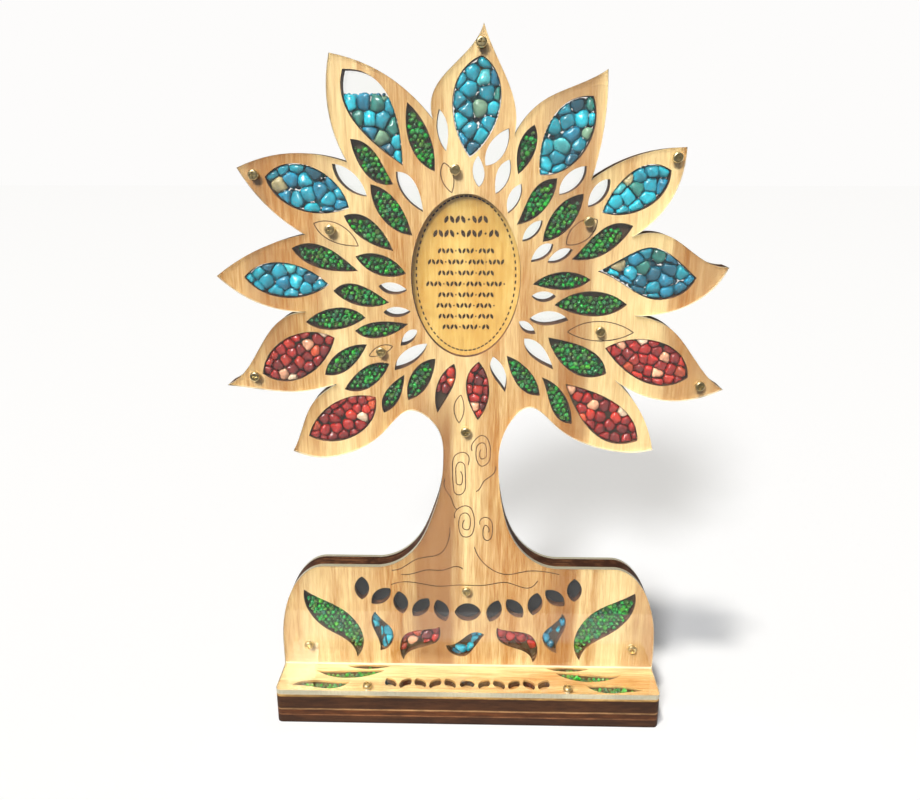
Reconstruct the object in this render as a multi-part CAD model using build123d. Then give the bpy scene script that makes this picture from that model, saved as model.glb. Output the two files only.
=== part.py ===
from build123d import *
import math
import os
import random

# A table stand in the shape of a tree. The tree is a flat upright made of two plywood boards between two
# clear sheets, standing in a slotted base. Loose chips and granules are sealed in its windows.
# Millimetres. +Z is up, the front faces -Y, the origin is the centre of the base's underside.

# Driving dimensions
base_width = 142.0
base_depth = 45.0
tree_height = 228.0            # tip of the crown above the top of the base
board_thickness = 3.0
base_board_count = 4
base_cover_thickness = 2.0
front_cover_thickness = 2.0
back_cover_thickness = 1.5
ledge_depth = 16.0             # base top left free in front of the upright
base_corner_radius = 2.0
screw_diameter = 2.0
screw_head_diameter = 3.4
screw_head_height = 1.3
screw_point = 0.4              # how far a screw stands past its nut
nut_width = 4.0                # across flats
nut_thickness = 1.6
tab_width = 18.0
tab_spacing = 46.0             # between the centres of neighbouring foot tabs
tab_count = 3
plaque_half_width = 18.4       # the opening in front of the plaque
plaque_half_height = 27.3
plaque_overlap = 0.6           # how far the plaque reaches behind the opening's rim
engraving_width = 0.35
engraving_depth = 0.25
stroke_step = 2.0              # between the points that carry a stroke along its curve
turquoise_spacing = 3.7        # least distance between the centres of two chips
coral_spacing = 2.9
panel_spacing = 3.3

# Clearances
screw_clearance = 0.1          # on the radius
slot_clearance = 0.1           # each side of a foot tab
inlay_clearance = 0.1          # round the plaque and the black strip
fill_clearance = 0.15          # between a fill and the walls and cover round it
chip_gap = 0.12                # between neighbouring chips
bore_clearance = 0.02          # between a nut's bore and its screw, on the radius
nut_pocket_spare = 0.3         # how much deeper a nut's pocket is than the nut
strip_thickness = 0.5

# Derived sizes
base_height = base_cover_thickness + base_board_count * board_thickness
upright_front = -base_depth / 2 + ledge_depth
face_front = upright_front + front_cover_thickness
rear_front = face_front + board_thickness
cover_front = rear_front + board_thickness
upright_back = cover_front + back_cover_thickness
screw_hole_radius = screw_diameter / 2 + screw_clearance
tab_depth = base_height - board_thickness
nut_pocket_depth = nut_thickness + nut_pocket_spare
chip_taper = 6                 # degrees, chips narrow towards the front
chip_corners = 8               # corners of a chip before its neighbours trim it
chip_reach = 0.85              # farthest a corner stands from the centre, in spacings
neighbour_range = 2.5          # how far off, in spacings, another chip's centre still trims a chip
wall_range = 2.0               # the same for a window's wall
smallest_chip = 0.2            # least area of a chip, in squared spacings
shortest_chip_side = 0.5
wall_samples = 60              # places round a window's wall that trim the chips
wall_probe = 0.2               # step off the wall that tells inside from outside
seed_tries = 900               # random centres tried in each window
head_rounding = 0.45           # rounding of a screw head's rim, as a share of its height
recess_length = 0.62           # length of the cross in a screw head, as a share of its diameter
recess_width = 0.45

# The drawing of the tree: its points are x and height above the table, drawn for this size of stand.
drawn_base_width = 142.0
drawn_base_depth = 45.0
drawn_base_height = 14.0
drawn_tree_height = 228.0
width_scale = base_width / drawn_base_width
height_scale = tree_height / drawn_tree_height
depth_scale = base_depth / drawn_base_depth

# Windows are pointed leaves: a tip, the points down one side, the other tip, and back up the other side.
TURQUOISE_WINDOWS = {
    "turquoise_top": ((3.9, 233), [(-4.6, 224), (-5, 214)], (0.1, 202.5), [(8.6, 213.5), (9.4, 226)]),
    "turquoise_upper_left": (
        (-39.8, 229), [(-39.9, 219.5), (-32, 208.2)],
        (-21.4, 200), [(-22.3, 211), (-28.5, 225)],
    ),
    "turquoise_left_upper": (
        (-66.4, 196.5), [(-60, 188), (-49, 184.9)],
        (-39.3, 186.7), [(-48.5, 198.5), (-59, 200.6)],
    ),
    "turquoise_left_middle": (
        (-75.7, 164), [(-68.5, 158.4), (-56, 157.4)],
        (-47.1, 161.5), [(-57, 167.8), (-68, 168.6)],
    ),
    "turquoise_upper_right": (
        (38.9, 221), [(29, 217.8), (23.4, 208)],
        (22.8, 197), [(32.5, 199.8), (39.4, 210)],
    ),
    "turquoise_right_upper": (
        (64.8, 198.6), [(56.5, 200.2), (48, 194)],
        (43.3, 185.3), [(53.5, 185.2), (62.5, 191)],
    ),
    "turquoise_right_middle": (
        (42.8, 166.2), [(50, 162.9), (62, 156.9), (70.5, 158.4)],
        (75.7, 164.2), [(70, 169.3), (60.5, 174.2), (51.5, 171)],
    ),
}
CORAL_WINDOWS = {
    "coral_left": (
        (-46, 143.3), [(-58, 144.8), (-67.5, 139.3)],
        (-71.7, 130.3), [(-61, 127.9), (-51.5, 133.5)],
    ),
    "coral_lower_left": (
        (-32.5, 122.2), [(-43, 121.8), (-52.5, 115.5)],
        (-56.8, 107.5), [(-46, 105.7), (-36, 111)],
    ),
    "coral_right": (
        (46.7, 140.1), [(55, 131.4), (66.5, 126.8)],
        (75.6, 129.9), [(72, 138.5), (61.5, 143.2)],
    ),
    "coral_lower_right": (
        (33.6, 127.4), [(38.2, 117), (47.5, 107)],
        (59.8, 106.6), [(57.2, 114.9), (47, 123)],
    ),
    "coral_trunk_left": (
        (-5, 134.4), [(-10, 129), (-11.7, 121.5)],
        (-10.8, 116.5), [(-7.4, 122.3), (-4.3, 130.5)],
    ),
    "coral_trunk_right": (
        (3.5, 135.1), [(-0.7, 128.7), (0.2, 120.2)],
        (3.3, 113.9), [(6.6, 120), (7, 128)],
    ),
}
GREEN_WINDOWS = {
    "green_left_1": (
        (-19.6, 219.2), [(-20.1, 211.5), (-17.2, 203)],
        (-11.1, 198.2), [(-11.6, 206), (-15, 214)],
    ),
    "green_left_2": (
        (-38.1, 208.2), [(-35.6, 200.5), (-30.5, 195)],
        (-24.6, 194.2), [(-28, 200.5), (-32.5, 206.3)],
    ),
    "green_left_3": (
        (-32, 194.2), [(-30.6, 186.7), (-25.5, 180.4)],
        (-18.7, 177.9), [(-21.5, 185.5), (-26.2, 191.5)],
    ),
    "green_left_4": (
        (-41.1, 184.2), [(-37.8, 178.9), (-32, 175)],
        (-25.1, 172.8), [(-29.5, 180.3), (-35, 184.4)],
    ),
    "green_left_5": (
        (-59, 173.6), [(-53.5, 168.4), (-45, 166.1)],
        (-37.1, 166.1), [(-43.5, 171.6), (-51.5, 175.2)],
    ),
    "green_left_6": (
        (-37.8, 170.9), [(-33.9, 166.7), (-28.5, 164.4)],
        (-21.1, 165.3), [(-27, 170.7), (-33, 172.1)],
    ),
    "green_left_7": (
        (-45.7, 159.4), [(-41, 155.8), (-34, 154)],
        (-26.9, 155.6), [(-33.5, 160), (-40.5, 162)],
    ),
    "green_left_8": (
        (-55.6, 148.7), [(-51, 146.4), (-43.5, 146.4)],
        (-35.1, 150.3), [(-40, 153.3), (-48.5, 153)],
    ),
    "green_left_9": (
        (-38.9, 145.7), [(-35.3, 143.5), (-29, 143.6)],
        (-20.7, 148.2), [(-26.5, 149), (-33.5, 148.5)],
    ),
    "green_left_10": (
        (-35, 141), [(-43, 139.3), (-48.5, 134.2)],
        (-50, 130.1), [(-44.5, 130.5), (-38.5, 135.2)],
    ),
    "green_left_11": (
        (-27.4, 134.2), [(-33.5, 134.1), (-40, 129.5)],
        (-43.3, 124.9), [(-36, 124.8), (-30.3, 129.2)],
    ),
    "green_left_12": (
        (-22.2, 130.3), [(-27.3, 126.3), (-30.4, 120.5)],
        (-29.7, 116.4), [(-25.3, 119.8), (-22.8, 126)],
    ),
    "green_left_13": (
        (-11.4, 136.1), [(-18, 133), (-21.2, 126.5)],
        (-21.1, 121.1), [(-15.8, 124.3), (-12, 132)],
    ),
    "green_right_1": (
        (20.7, 212.5), [(16.1, 207.2), (15.2, 201.5)],
        (15.8, 197.3), [(19.6, 201.5), (21.7, 207.5)],
    ),
    "green_right_2": (
        (28.4, 196.1), [(21.3, 193), (17.6, 185.8)],
        (15.6, 181.4), [(22.5, 184.3), (27.6, 191.5)],
    ),
    "green_right_3": (
        (37.1, 191.3), [(29, 187.2), (25, 179.8)],
        (24.3, 175.9), [(31, 178.6), (36.3, 186.5)],
    ),
    "green_right_4": (
        (53.7, 181.1), [(46.5, 181.5), (38.5, 175)],
        (34.1, 170.2), [(44, 171.5), (50.5, 176.5)],
    ),
    "green_right_5": (
        (21.4, 161.9), [(26.7, 160.5), (34, 160.2)],
        (40.7, 163.4), [(34, 166), (26.7, 165.1)],
    ),
    "green_right_6": (
        (28.9, 154.9), [(37, 151.7), (46, 151.4)],
        (53.2, 155.1), [(46.5, 158.9), (36, 158.9)],
    ),
    "green_right_7": ((27.1, 143.8), [(30.5, 136.5), (37, 130.9)], (47.5, 131), [(44.8, 137), (36, 141.8)]),
    "green_right_8": (
        (13.1, 137.3), [(15, 130.5), (19.3, 124.6)],
        (24.9, 123.1), [(23.6, 128), (18.7, 134.2)],
    ),
    "green_right_9": (
        (25.4, 129.7), [(28.2, 121), (32.4, 114)],
        (36.3, 112.8), [(35.6, 118.5), (31, 126.3)],
    ),
    "green_panel_left": (
        (-62.1, 45.8), [(-61.4, 38.1), (-55, 29.5), (-46, 23.5)],
        (-42.8, 16.6), [(-40.3, 26.5), (-47.5, 37.3), (-57, 42.6)],
    ),
    "green_panel_right": (
        (62.8, 45.8), [(61.6, 36.1), (55, 28.7), (46.6, 23)],
        (43.1, 16.4), [(41, 26.5), (48.5, 38), (57.5, 42.8)],
    ),
}
PANEL_WINDOWS = {
    "turquoise_panel_left": (
        (-35.3, 36.8), [(-36.8, 31.7), (-34.6, 25.5)],
        (-33.9, 19.7), [(-29.2, 23.2), (-28.8, 28.4), (-33, 33.5)],
    ),
    "turquoise_panel_right": (
        (35.8, 36.8), [(32.8, 32.3), (28.7, 27.2), (30, 22.6)], (34.3, 19.6), [(34.7, 25), (37.3, 31.5)],
    ),
    "turquoise_panel_centre": (
        (-8.4, 22.4), [(-5.8, 18.6), (-1.5, 17.6), (2.5, 21.4)], (6.4, 27.2), [(1.5, 27.9), (-3.3, 24.1)],
    ),
    "coral_panel_left": (
        (-10.7, 30.3), [(-17, 29), (-24.2, 26.7), (-26.1, 20.5)], (-24.8, 15.6), [(-22, 19.7), (-14, 22.5)],
    ),
    "coral_panel_right": (
        (11.1, 30.3), [(14.2, 23), (22, 19.9)], (25.2, 15.2), [(26.8, 22), (24.2, 27.1), (17, 28.9)],
    ),
}
OPEN_LEAVES = [
    ((-44.3, 200.6), [(-42.5, 195.5), (-38, 191.6)], (-33.3, 190.4), [(-35.2, 195), (-39.3, 199)]),
    ((-9.6, 217.2), [(-10.4, 211.7), (-9.2, 207)], (-7.4, 204.4), [(-6.7, 210), (-7.6, 214.5)]),
    ((-23.7, 198.1), [(-21.9, 191.5), (-18.5, 187.7)], (-15, 185.4), [(-16.2, 191.5), (-19.5, 196.9)]),
    ((-30.4, 161.1), [(-28, 158.9), (-24.6, 158.3)], (-20.8, 159.7), [(-24, 161.9), (-27.6, 162.3)]),
    ((-29, 152.2), [(-26, 150.6), (-22.8, 150.8)], (-19.7, 152.5), [(-22.5, 153.8), (-26, 153.9)]),
    ((-17.6, 146.1), [(-20.8, 145.7), (-22.7, 143.2)], (-23.4, 140.6), [(-20.5, 141.4), (-18.2, 143.8)]),
    ((-14.2, 141.4), [(-19.5, 140.2), (-24.2, 136.3)], (-25.6, 131.9), [(-20, 134), (-15.8, 137.8)]),
    ((2.9, 203.1), [(1.1, 199), (1.5, 196)], (3.2, 193.3), [(4.9, 196.3), (4.6, 199.5)]),
    ((12.6, 211.4), [(7.8, 208.3), (5.3, 203.8)], (5.3, 200), [(9, 201.3), (12.3, 206.2)]),
    ((13.1, 201.9), [(9.4, 199), (8.4, 194.5)], (8.6, 191.1), [(12, 194.2), (13.4, 198.3)]),
    ((16.9, 194.4), [(13.4, 191.7), (12.3, 188)], (12.8, 185), [(15.3, 187.3), (17, 191)]),
    ((37.7, 199.9), [(32.4, 198), (29.6, 194.3)], (29.3, 190.9), [(33.2, 192.1), (36.9, 195.8)]),
    ((45.4, 195.9), [(41.5, 194.5), (39, 190.3)], (38.7, 187.1), [(42.2, 188.4), (44.9, 191.7)]),
    ((24.1, 182.8), [(20.4, 181.6), (18.3, 178.9)], (17.6, 176), [(20.7, 177), (23.3, 179.8)]),
    ((27.8, 175.1), [(23.6, 174.6), (21.6, 172.2)], (20.6, 169.3), [(24, 170), (26.9, 172.2)]),
    ((34.3, 173.3), [(30.8, 173.7), (27.8, 171.8)], (26.1, 169.1), [(29.8, 169.3), (33, 171.3)]),
    ((21.1, 157.9), [(23.5, 156.2), (26.8, 156.2)], (29.3, 157.9), [(26.8, 159.3), (23.5, 159.3)]),
    ((20.5, 150.1), [(24.8, 148), (29.8, 148.4)], (33.8, 149.7), [(30, 152.4), (25, 152.6)]),
    ((17.1, 149.3), [(17.8, 147), (20, 145.2)], (22.8, 145), [(22, 146.9), (20, 149)]),
    ((19, 143.3), [(20, 139), (24.3, 135)], (29.3, 132.5), [(27.5, 137), (23, 142.4)]),
    ((8.4, 136.9), [(7.7, 132), (10.2, 127.6)], (12.7, 124.2), [(13.2, 129), (11.2, 134.4)]),
]
ENGRAVED_LEAVES = [
    ((-51.2, 181.7), [(-46.5, 176.5), (-41, 174.7)], (-36.7, 174.4), [(-40.8, 180.2), (-46.5, 182.5)]),
    ((-8.2, 200.9), [(-9.2, 197.5), (-8.3, 194.5)], (-5.6, 191.6), [(-4.9, 195), (-5.9, 199)]),
    ((41.9, 183.1), [(36.5, 182.5), (33, 179)], (32.2, 175), [(36, 175.3), (40.7, 178.8)]),
    ((33.6, 145.7), [(39, 143.4), (50, 143.2)], (56, 145.6), [(50.5, 148.4), (39.5, 148.8)]),
    ((-34.3, 136.9), [(-31, 137), (-28, 138.5)], (-26.1, 140.4), [(-29.4, 140.8), (-32.5, 139.3)]),
    ((-2.6, 123.1), [(-4.9, 119.5), (-4.8, 116)], (-3.3, 112.8), [(-1.8, 116), (-1.6, 119.6)]),
]
# Root and bark lines engraved on the trunk and the foot panel.
ENGRAVED_LINES = [
    [(-8.4, 91.5), (-8, 87), (-6.1, 83.9), (-5, 80.6), (-3.9, 79.4)],
    [(9.9, 96.5), (8.3, 92.8), (5.6, 90.6), (4.2, 87.8), (2.9, 86.7)],
    [(-6.7, 72.2), (-7.2, 67.2), (-10.3, 61.6), (-19, 59.2), (-25.6, 55), (-28.6, 54.4)],
    [(-25, 52.7), (-20, 53.3), (-15.5, 54.7), (-8.9, 54.8), (-4.5, 56.3), (-1.9, 55.3)],
    [(-28.9, 48.4), (-20, 49.4), (-10, 47.9), (-5.6, 48.4), (7.8, 48.8), (14.5, 49.8), (22.8, 47.6),
     (26.1, 50.6)],
    [(2.4, 64.4), (3.9, 60.6), (8.5, 55.5), (14.4, 53.2), (21.7, 54.6), (28.9, 54.5), (34.2, 53.4)],
]
points_per_turn = 8
spiral_closing = 0.8           # how much narrower a spiral is at its inner end, as a share
# Elliptical spirals: centre, half width, half height, start angle in degrees, turns, and turning sense.
ENGRAVED_SPIRALS = [
    ((5, 101.7), 3.6, 7.2, 175, 2.1, -1),
    ((-3, 92.6), 3.3, 10.2, 25, 2.1, 1),
    ((-0.9, 74), 4.0, 7.8, 165, 2.1, -1),
    ((6.9, 71), 2.8, 6.2, 155, 1.5, -1),
]
UPRIGHT_SCREWS = [
    (3.7, 236.4), (-4.5, 198.8), (-69.7, 197.2), (-45.7, 179.8), (66.1, 202.5), (39.1, 182.5), (44.5, 146.2),
    (79.5, 127.3), (-74.1, 129.8), (-30, 138.8), (-1, 110), (-0.6, 46.7), (-61.2, 22.6), (62.7, 22.7),
]
BASE_SCREWS = [(-37.2, -19.8), (37.2, -19.8), (-37.2, 16), (37.2, 16)]
LEDGE_WINDOWS = {
    "green_ledge_left": [
        ((-47, -6), [(-42, -7.5), (-35, -7.5)], (-30, -6), [(-35, -5.1), (-42, -5.1)]),
        ((-58.4, -8.9), [(-51.5, -12.8), (-41, -13)], (-32, -8.6), [(-42, -8.4), (-51.4, -9.2)]),
        ((-65.8, -18.4), [(-59, -18.9), (-50.5, -20)], (-44.2, -15.7), [(-52, -15.5), (-62.5, -15.8)]),
    ],
    "green_ledge_right": [
        ((47, -6), [(42, -7.5), (35, -7.5)], (30, -6), [(35, -5.1), (42, -5.1)]),
        ((59.3, -9.1), [(51.5, -13.2), (41, -13.2)], (33.5, -8.6), [(41.5, -8.6), (51, -9.8)]),
        ((65.9, -18.9), [(59.4, -19.6), (50.5, -20.2)], (44.3, -15.9), [(53, -15.7), (61.7, -17)]),
    ],
}
# The crown's rim: each stretch runs from one sharp corner to the next.
RIM = [
    [(-33, 56.4), (-25, 59.2), (-18.2, 66), (-13.3, 76.7), (-10.2, 87), (-8.9, 100), (-11, 111.3),
     (-20.3, 117.6), (-30, 109.4), (-42, 101.7), (-62.4, 102.3)],
    [(-62.4, 102.3), (-58.4, 112), (-54.4, 120.3), (-49.6, 124.6), (-46, 126.9)],
    [(-46, 126.9), (-50, 125.9), (-58, 124.3), (-70, 124.7), (-84, 126.5)],
    [(-84, 126.5), (-74.5, 135.6), (-66.5, 147.4), (-55.5, 152.3)],
    [(-55.5, 152.3), (-71.5, 155.5), (-84.5, 164.5)],
    [(-84.5, 164.5), (-70, 173.3), (-54.2, 178.2)],
    [(-54.2, 178.2), (-68.5, 190), (-75, 199.4)],
    [(-75, 199.4), (-56, 203.9), (-39.2, 201)],
    [(-39.2, 201), (-43.9, 213), (-43.6, 233.6)],
    [(-43.6, 233.6), (-23.9, 225.8), (-11.5, 214)],
    [(-11.5, 214), (-10.9, 223), (-3.9, 231), (4.4, 242)],
    [(4.4, 242), (9.4, 230.6), (13.8, 220.5), (14.4, 209.4)],
    [(14.4, 209.4), (17, 213.7), (22, 218.8), (32, 223.6), (42.9, 228.7)],
    [(42.9, 228.7), (42.6, 212), (39.3, 195.6)],
    [(39.3, 195.6), (51, 202.2), (69, 205.7)],
    [(69, 205.7), (65.8, 190.5), (53.5, 177.5)],
    [(53.5, 177.5), (57.8, 178.8), (64, 178.4), (74.5, 172), (85.8, 167.8)],
    [(85.8, 167.8), (76.7, 156.9), (65.6, 152.4), (56.1, 151.5)],
    [(56.1, 151.5), (61.4, 150.4), (67, 148), (73.3, 141.9), (87.6, 126)],
    [(87.6, 126), (70, 121.7), (50.6, 128.9)],
    [(50.6, 128.9), (59.7, 118.1), (65, 103.7)],
    [(65, 103.7), (45.6, 104.4), (31.1, 111.9), (21.5, 119), (12.8, 109.7), (10.8, 97), (12.2, 82),
     (17.2, 67), (25, 58.9), (33, 56.4)],
]
shoulder_z = 56.4              # flat top of the foot panel
shoulder_rise = 32.0
shoulder_run = 17.0
settled_level = 221.0          # height of the loose chips in the window that is not full
# The row of dark leaves across the foot panel hangs along an arc, with a broad leaf in the middle.
ornament_arc_centre = (0, 124)
ornament_arc_radius = 87.0
ornament_pairs = 5
ornament_first_angle = 6.6     # degrees from the middle of the arc
ornament_step = 5.2
ornament_length = 9.8
ornament_width = 5.6
ornament_lean = 26
broad_leaf_length = 10.0
broad_leaf_width = 7.6
ornament_strip_height = 12.0
ornament_strip_angle = 64.0
# The smaller row on the ledge runs straight.
ledge_row_y = -16
ledge_pairs = 5
ledge_first_x = 6.4
ledge_step = 5.6
ledge_leaf_length = 6.8
ledge_leaf_width = 4.2
ledge_lean = 30
ledge_dot_radius = 2.9
# The plaque's engraving: stitches along an oval, and rows of small leaves in place of writing. A row is its
# height above the table, its half length and the size of its leaves.
stitch_count = 72
stitch_length = 1.15
stitch_width = 0.5
stitch_half_width = 16.8
stitch_half_height = 26.0
oval_x = -1
oval_z = 164
message_x = -1
message_z = 164.4
message_group = 5              # every fifth mark is a dot
message_pitch = 0.62           # this and the next three are shares of a row's leaf size
message_leaf_length = 0.92
message_leaf_width = 0.42
message_dot_radius = 0.13
message_lean = 24
MESSAGE_ROWS = [
    (182.9, 7.6, 3.0), (178.3, 11.6, 3.0), (172.6, 9.6, 2.2), (168.9, 13.2, 2.2), (165.2, 9.6, 2.2),
    (161.5, 13.6, 2.2), (157.8, 9.6, 2.2), (154.1, 10.4, 2.2), (150.4, 9.4, 2.2), (146.7, 8.2, 2.2),
]


def at(x, z):
    """A point of the tree's drawing, scaled to the driving sizes."""
    return (x * width_scale, base_height + (z - drawn_base_height) * height_scale)


def on_base(x, y):
    """A point of the base's drawing, scaled to the driving sizes."""
    return (x * width_scale, y * depth_scale)


def leaf(window, place=at):
    """The closed outline of a pointed leaf."""
    first, one_side, last, other_side = window
    first = place(*first)
    last = place(*last)
    out = Spline([first] + [place(*p) for p in one_side] + [last])
    back = Spline([last] + [place(*p) for p in other_side] + [first])
    return Wire([out, back])


def leaf_at(x, z, length, width, angle):
    """A symmetrical leaf made of two arcs, leaning by an angle."""
    half = Vector(0, length / 2)
    out = ThreePointArc(-half, (width / 2, 0), half)
    back = ThreePointArc(half, (-width / 2, 0), -half)
    return Pos(x, z) * Rot(0, 0, angle) * Wire([out, back])


def circle(x, z, radius):
    """A round hole's outline."""
    return Pos(x, z) * Wire([Edge.make_circle(radius)])


def oval(half_width, half_height):
    """The outline of the oval round the message, or of one that follows it."""
    rim = Edge.make_ellipse(half_width * width_scale, half_height * height_scale)
    return Pos(*at(oval_x, oval_z)) * Wire([rim])


def on_upright(face, back_y):
    """Stand a flat drawing up so that it faces the front at a depth."""
    return Plane((0, back_y, 0), (1, 0, 0), (0, -1, 0)) * face


def pierced(outer, holes):
    """A flat sheet's face with openings in it."""
    return Face(outer) - [Face(hole) for hole in holes]


def upright_sheet(face, back_y, thickness):
    """A sheet of the upright, from its back face forwards."""
    return extrude(on_upright(face, back_y), thickness, dir=(0, -1, 0))


def base_sheet(face, z, thickness):
    """A sheet of the base, from its lower face upwards."""
    return extrude(Pos(0, 0, z) * face, thickness, dir=(0, 0, 1))


def tab_centres():
    """The x positions of the foot tabs."""
    middle = (tab_count - 1) / 2
    return [(i - middle) * tab_spacing * width_scale for i in range(tab_count)]


def tree_outline(foot_tabs):
    """The rim of the upright, with or without the tabs that enter the base."""
    half = base_width / 2
    run = shoulder_run * width_scale
    rise = shoulder_rise * height_scale
    side_z = at(0, shoulder_z)[1] - rise
    edges = [Line((-half, base_height), (-half, side_z))]
    edges += [EllipticalCenterArc((run - half, side_z), run, rise, start_angle=90, arc_size=90)]
    edges += [Line((run - half, side_z + rise), at(*RIM[0][0]))]
    edges += [Spline([at(*p) for p in stretch]) for stretch in RIM]
    edges += [Line(at(*RIM[-1][-1]), (half - run, side_z + rise))]
    edges += [EllipticalCenterArc((half - run, side_z), run, rise, start_angle=0, arc_size=90)]
    edges += [Line((half, side_z), (half, base_height))]
    corners = [(half, base_height)]
    if foot_tabs:
        low = base_height - tab_depth + slot_clearance
        for x in reversed(tab_centres()):
            corners += [(x + tab_width / 2, base_height), (x + tab_width / 2, low)]
            corners += [(x - tab_width / 2, low), (x - tab_width / 2, base_height)]
    corners += [(-half, base_height)]
    edges += [Line(a, b) for a, b in zip(corners, corners[1:])]
    return Wire(edges)


def ornament_leaves():
    """Leaves leaning left and right along an arc, with a broad one in the middle."""
    centre = Vector(at(*ornament_arc_centre))
    radius = ornament_arc_radius
    shapes = [ornament(centre, radius, 0, broad_leaf_length, broad_leaf_width, 90)]
    for side in (-1, 1):
        for i in range(ornament_pairs):
            angle = side * (ornament_first_angle + ornament_step * i)
            lean = ornament_lean if i % 2 else -ornament_lean
            shapes.append(ornament(centre, radius, angle, ornament_length, ornament_width, side * lean))
    return shapes


def ornament(centre, radius, angle, length, width, lean):
    """One leaf at an angle along the arc."""
    turn = math.radians(angle)
    x = centre.X + radius * math.sin(turn) * width_scale
    z = centre.Y - radius * math.cos(turn) * height_scale
    return leaf_at(x, z, length, width, angle + lean)


def ledge_ornament():
    """A row of leaning leaves on the ledge, with a round one in the middle."""
    shapes = [circle(*on_base(0, ledge_row_y), ledge_dot_radius)]
    for side in (-1, 1):
        for i in range(ledge_pairs):
            x = side * (ledge_first_x + ledge_step * i)
            lean = ledge_lean if i % 2 else -ledge_lean
            shapes.append(leaf_at(*on_base(x, ledge_row_y), ledge_leaf_length, ledge_leaf_width, side * lean))
    return shapes


def strip_outline(grow):
    """The black strip behind the row of ornament leaves."""
    centre = at(*ornament_arc_centre)
    inner = ornament_arc_radius - ornament_strip_height / 2 - grow
    outer = ornament_arc_radius + ornament_strip_height / 2 + grow
    start = 270 - ornament_strip_angle / 2 - grow / 2
    end = 270 + ornament_strip_angle / 2 + grow / 2
    near = CenterArc(centre, inner, start, end - start)
    far = CenterArc(centre, outer, start, end - start)
    sides = [Line(near @ 0, far @ 0), Line(near @ 1, far @ 1)]
    return Wire([near, far] + sides)


def spiral(centre, half_width, half_height, start, turns, sense):
    """An elliptical spiral that closes towards its centre."""
    steps = round(turns * points_per_turn)
    points = []
    for i in range(steps + 1):
        angle = math.radians(start + sense * 360 * i / points_per_turn)
        size = 1 - spiral_closing * i / steps
        x = centre[0] + half_width * size * math.cos(angle)
        z = centre[1] + half_height * size * math.sin(angle)
        points.append(at(x, z))
    return Spline(points)


def engraved_faces():
    """The thin strokes cut into the face board."""
    paths = [side for window in ENGRAVED_LEAVES for side in leaf(window).edges()]
    paths += [Spline([at(*p) for p in line]) for line in ENGRAVED_LINES]
    paths += [spiral(*values) for values in ENGRAVED_SPIRALS]
    return [stroke(path) for path in paths]


def stroke(path):
    """A thin stroke along a curve, with square ends."""
    steps = round(path.length / stroke_step) + 2
    left = []
    right = []
    for i in range(steps + 1):
        middle = path.position_at(i / steps)
        along = path.tangent_at(i / steps)
        aside = Vector(-along.Y, along.X) * engraving_width / 2
        left.append(middle + aside)
        right.append(middle - aside)
    ends = [Line(left[-1], right[-1]), Line(right[0], left[0])]
    return Face(Wire([Spline(left), Spline(right)] + ends))


def box_outline(x, y, width, depth, corner=0):
    """A rectangle, with rounded corners if a corner radius is given."""
    shape = RectangleRounded(width, depth, corner) if corner else Rectangle(width, depth)
    return (Pos(x, y) * shape).face().outer_wire()


def slots():
    """The openings in the base that take the foot tabs."""
    width = tab_width + 2 * slot_clearance
    depth = 2 * board_thickness + 2 * slot_clearance
    middle = (face_front + cover_front) / 2
    return [box_outline(x, middle, width, depth) for x in tab_centres()]


def stitches():
    """The stitch marks engraved round the message."""
    marks = []
    for i in range(stitch_count):
        angle = 2 * math.pi * i / stitch_count
        across = math.cos(angle)
        up = math.sin(angle)
        place = Pos(*at(message_x + stitch_half_width * across, message_z + stitch_half_height * up))
        lean = math.atan2(stitch_half_height * across, -stitch_half_width * up)
        mark = place * Rot(0, 0, math.degrees(lean)) * Rectangle(stitch_length, stitch_width)
        marks.append(mark.face())
    return marks


def message_leaves():
    """Rows of small leaning leaves, with a dot at the end of each group."""
    marks = []
    for z, half_length, size in MESSAGE_ROWS:
        pitch = message_pitch * size
        count = round(2 * half_length / pitch)
        for i in range(count):
            place = at(message_x + (i - (count - 1) / 2) * pitch, z)
            if i % message_group == message_group - 1:
                outline = circle(*place, message_dot_radius * size)
            else:
                lean = message_lean if i % 2 else -message_lean
                outline = leaf_at(*place, message_leaf_length * size, message_leaf_width * size, lean)
            marks.append(Face(outline))
    return marks


def inside_cell(polygon, point, normal):
    """The part of a polygon on the inner side of the line through a point."""
    kept = []
    for a, b in zip(polygon, polygon[1:] + polygon[:1]):
        side_a = (a[0] - point[0]) * normal[0] + (a[1] - point[1]) * normal[1]
        side_b = (b[0] - point[0]) * normal[0] + (b[1] - point[1]) * normal[1]
        if side_a >= 0:
            kept.append(a)
        if side_a * side_b < 0:
            share = side_a / (side_a - side_b)
            kept.append((a[0] + share * (b[0] - a[0]), a[1] + share * (b[1] - a[1])))
    return kept


def area(polygon):
    """The area of a polygon."""
    pairs = zip(polygon, polygon[1:] + polygon[:1])
    return abs(sum(a[0] * b[1] - b[0] * a[1] for a, b in pairs)) / 2


def chip_seeds(face, spacing, level, rng):
    """Scattered centres inside a window, no two closer than the spacing, below the level of the fill."""
    box = face.bounding_box()
    seeds = []
    for _ in range(seed_tries):
        seed = (rng.uniform(box.min.X, box.max.X), rng.uniform(box.min.Y, min(box.max.Y, level)))
        roomy = all(math.dist(seed, other) > spacing for other in seeds)
        if roomy and face.is_inside(Vector(*seed)):
            seeds.append(seed)
    return seeds


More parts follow.
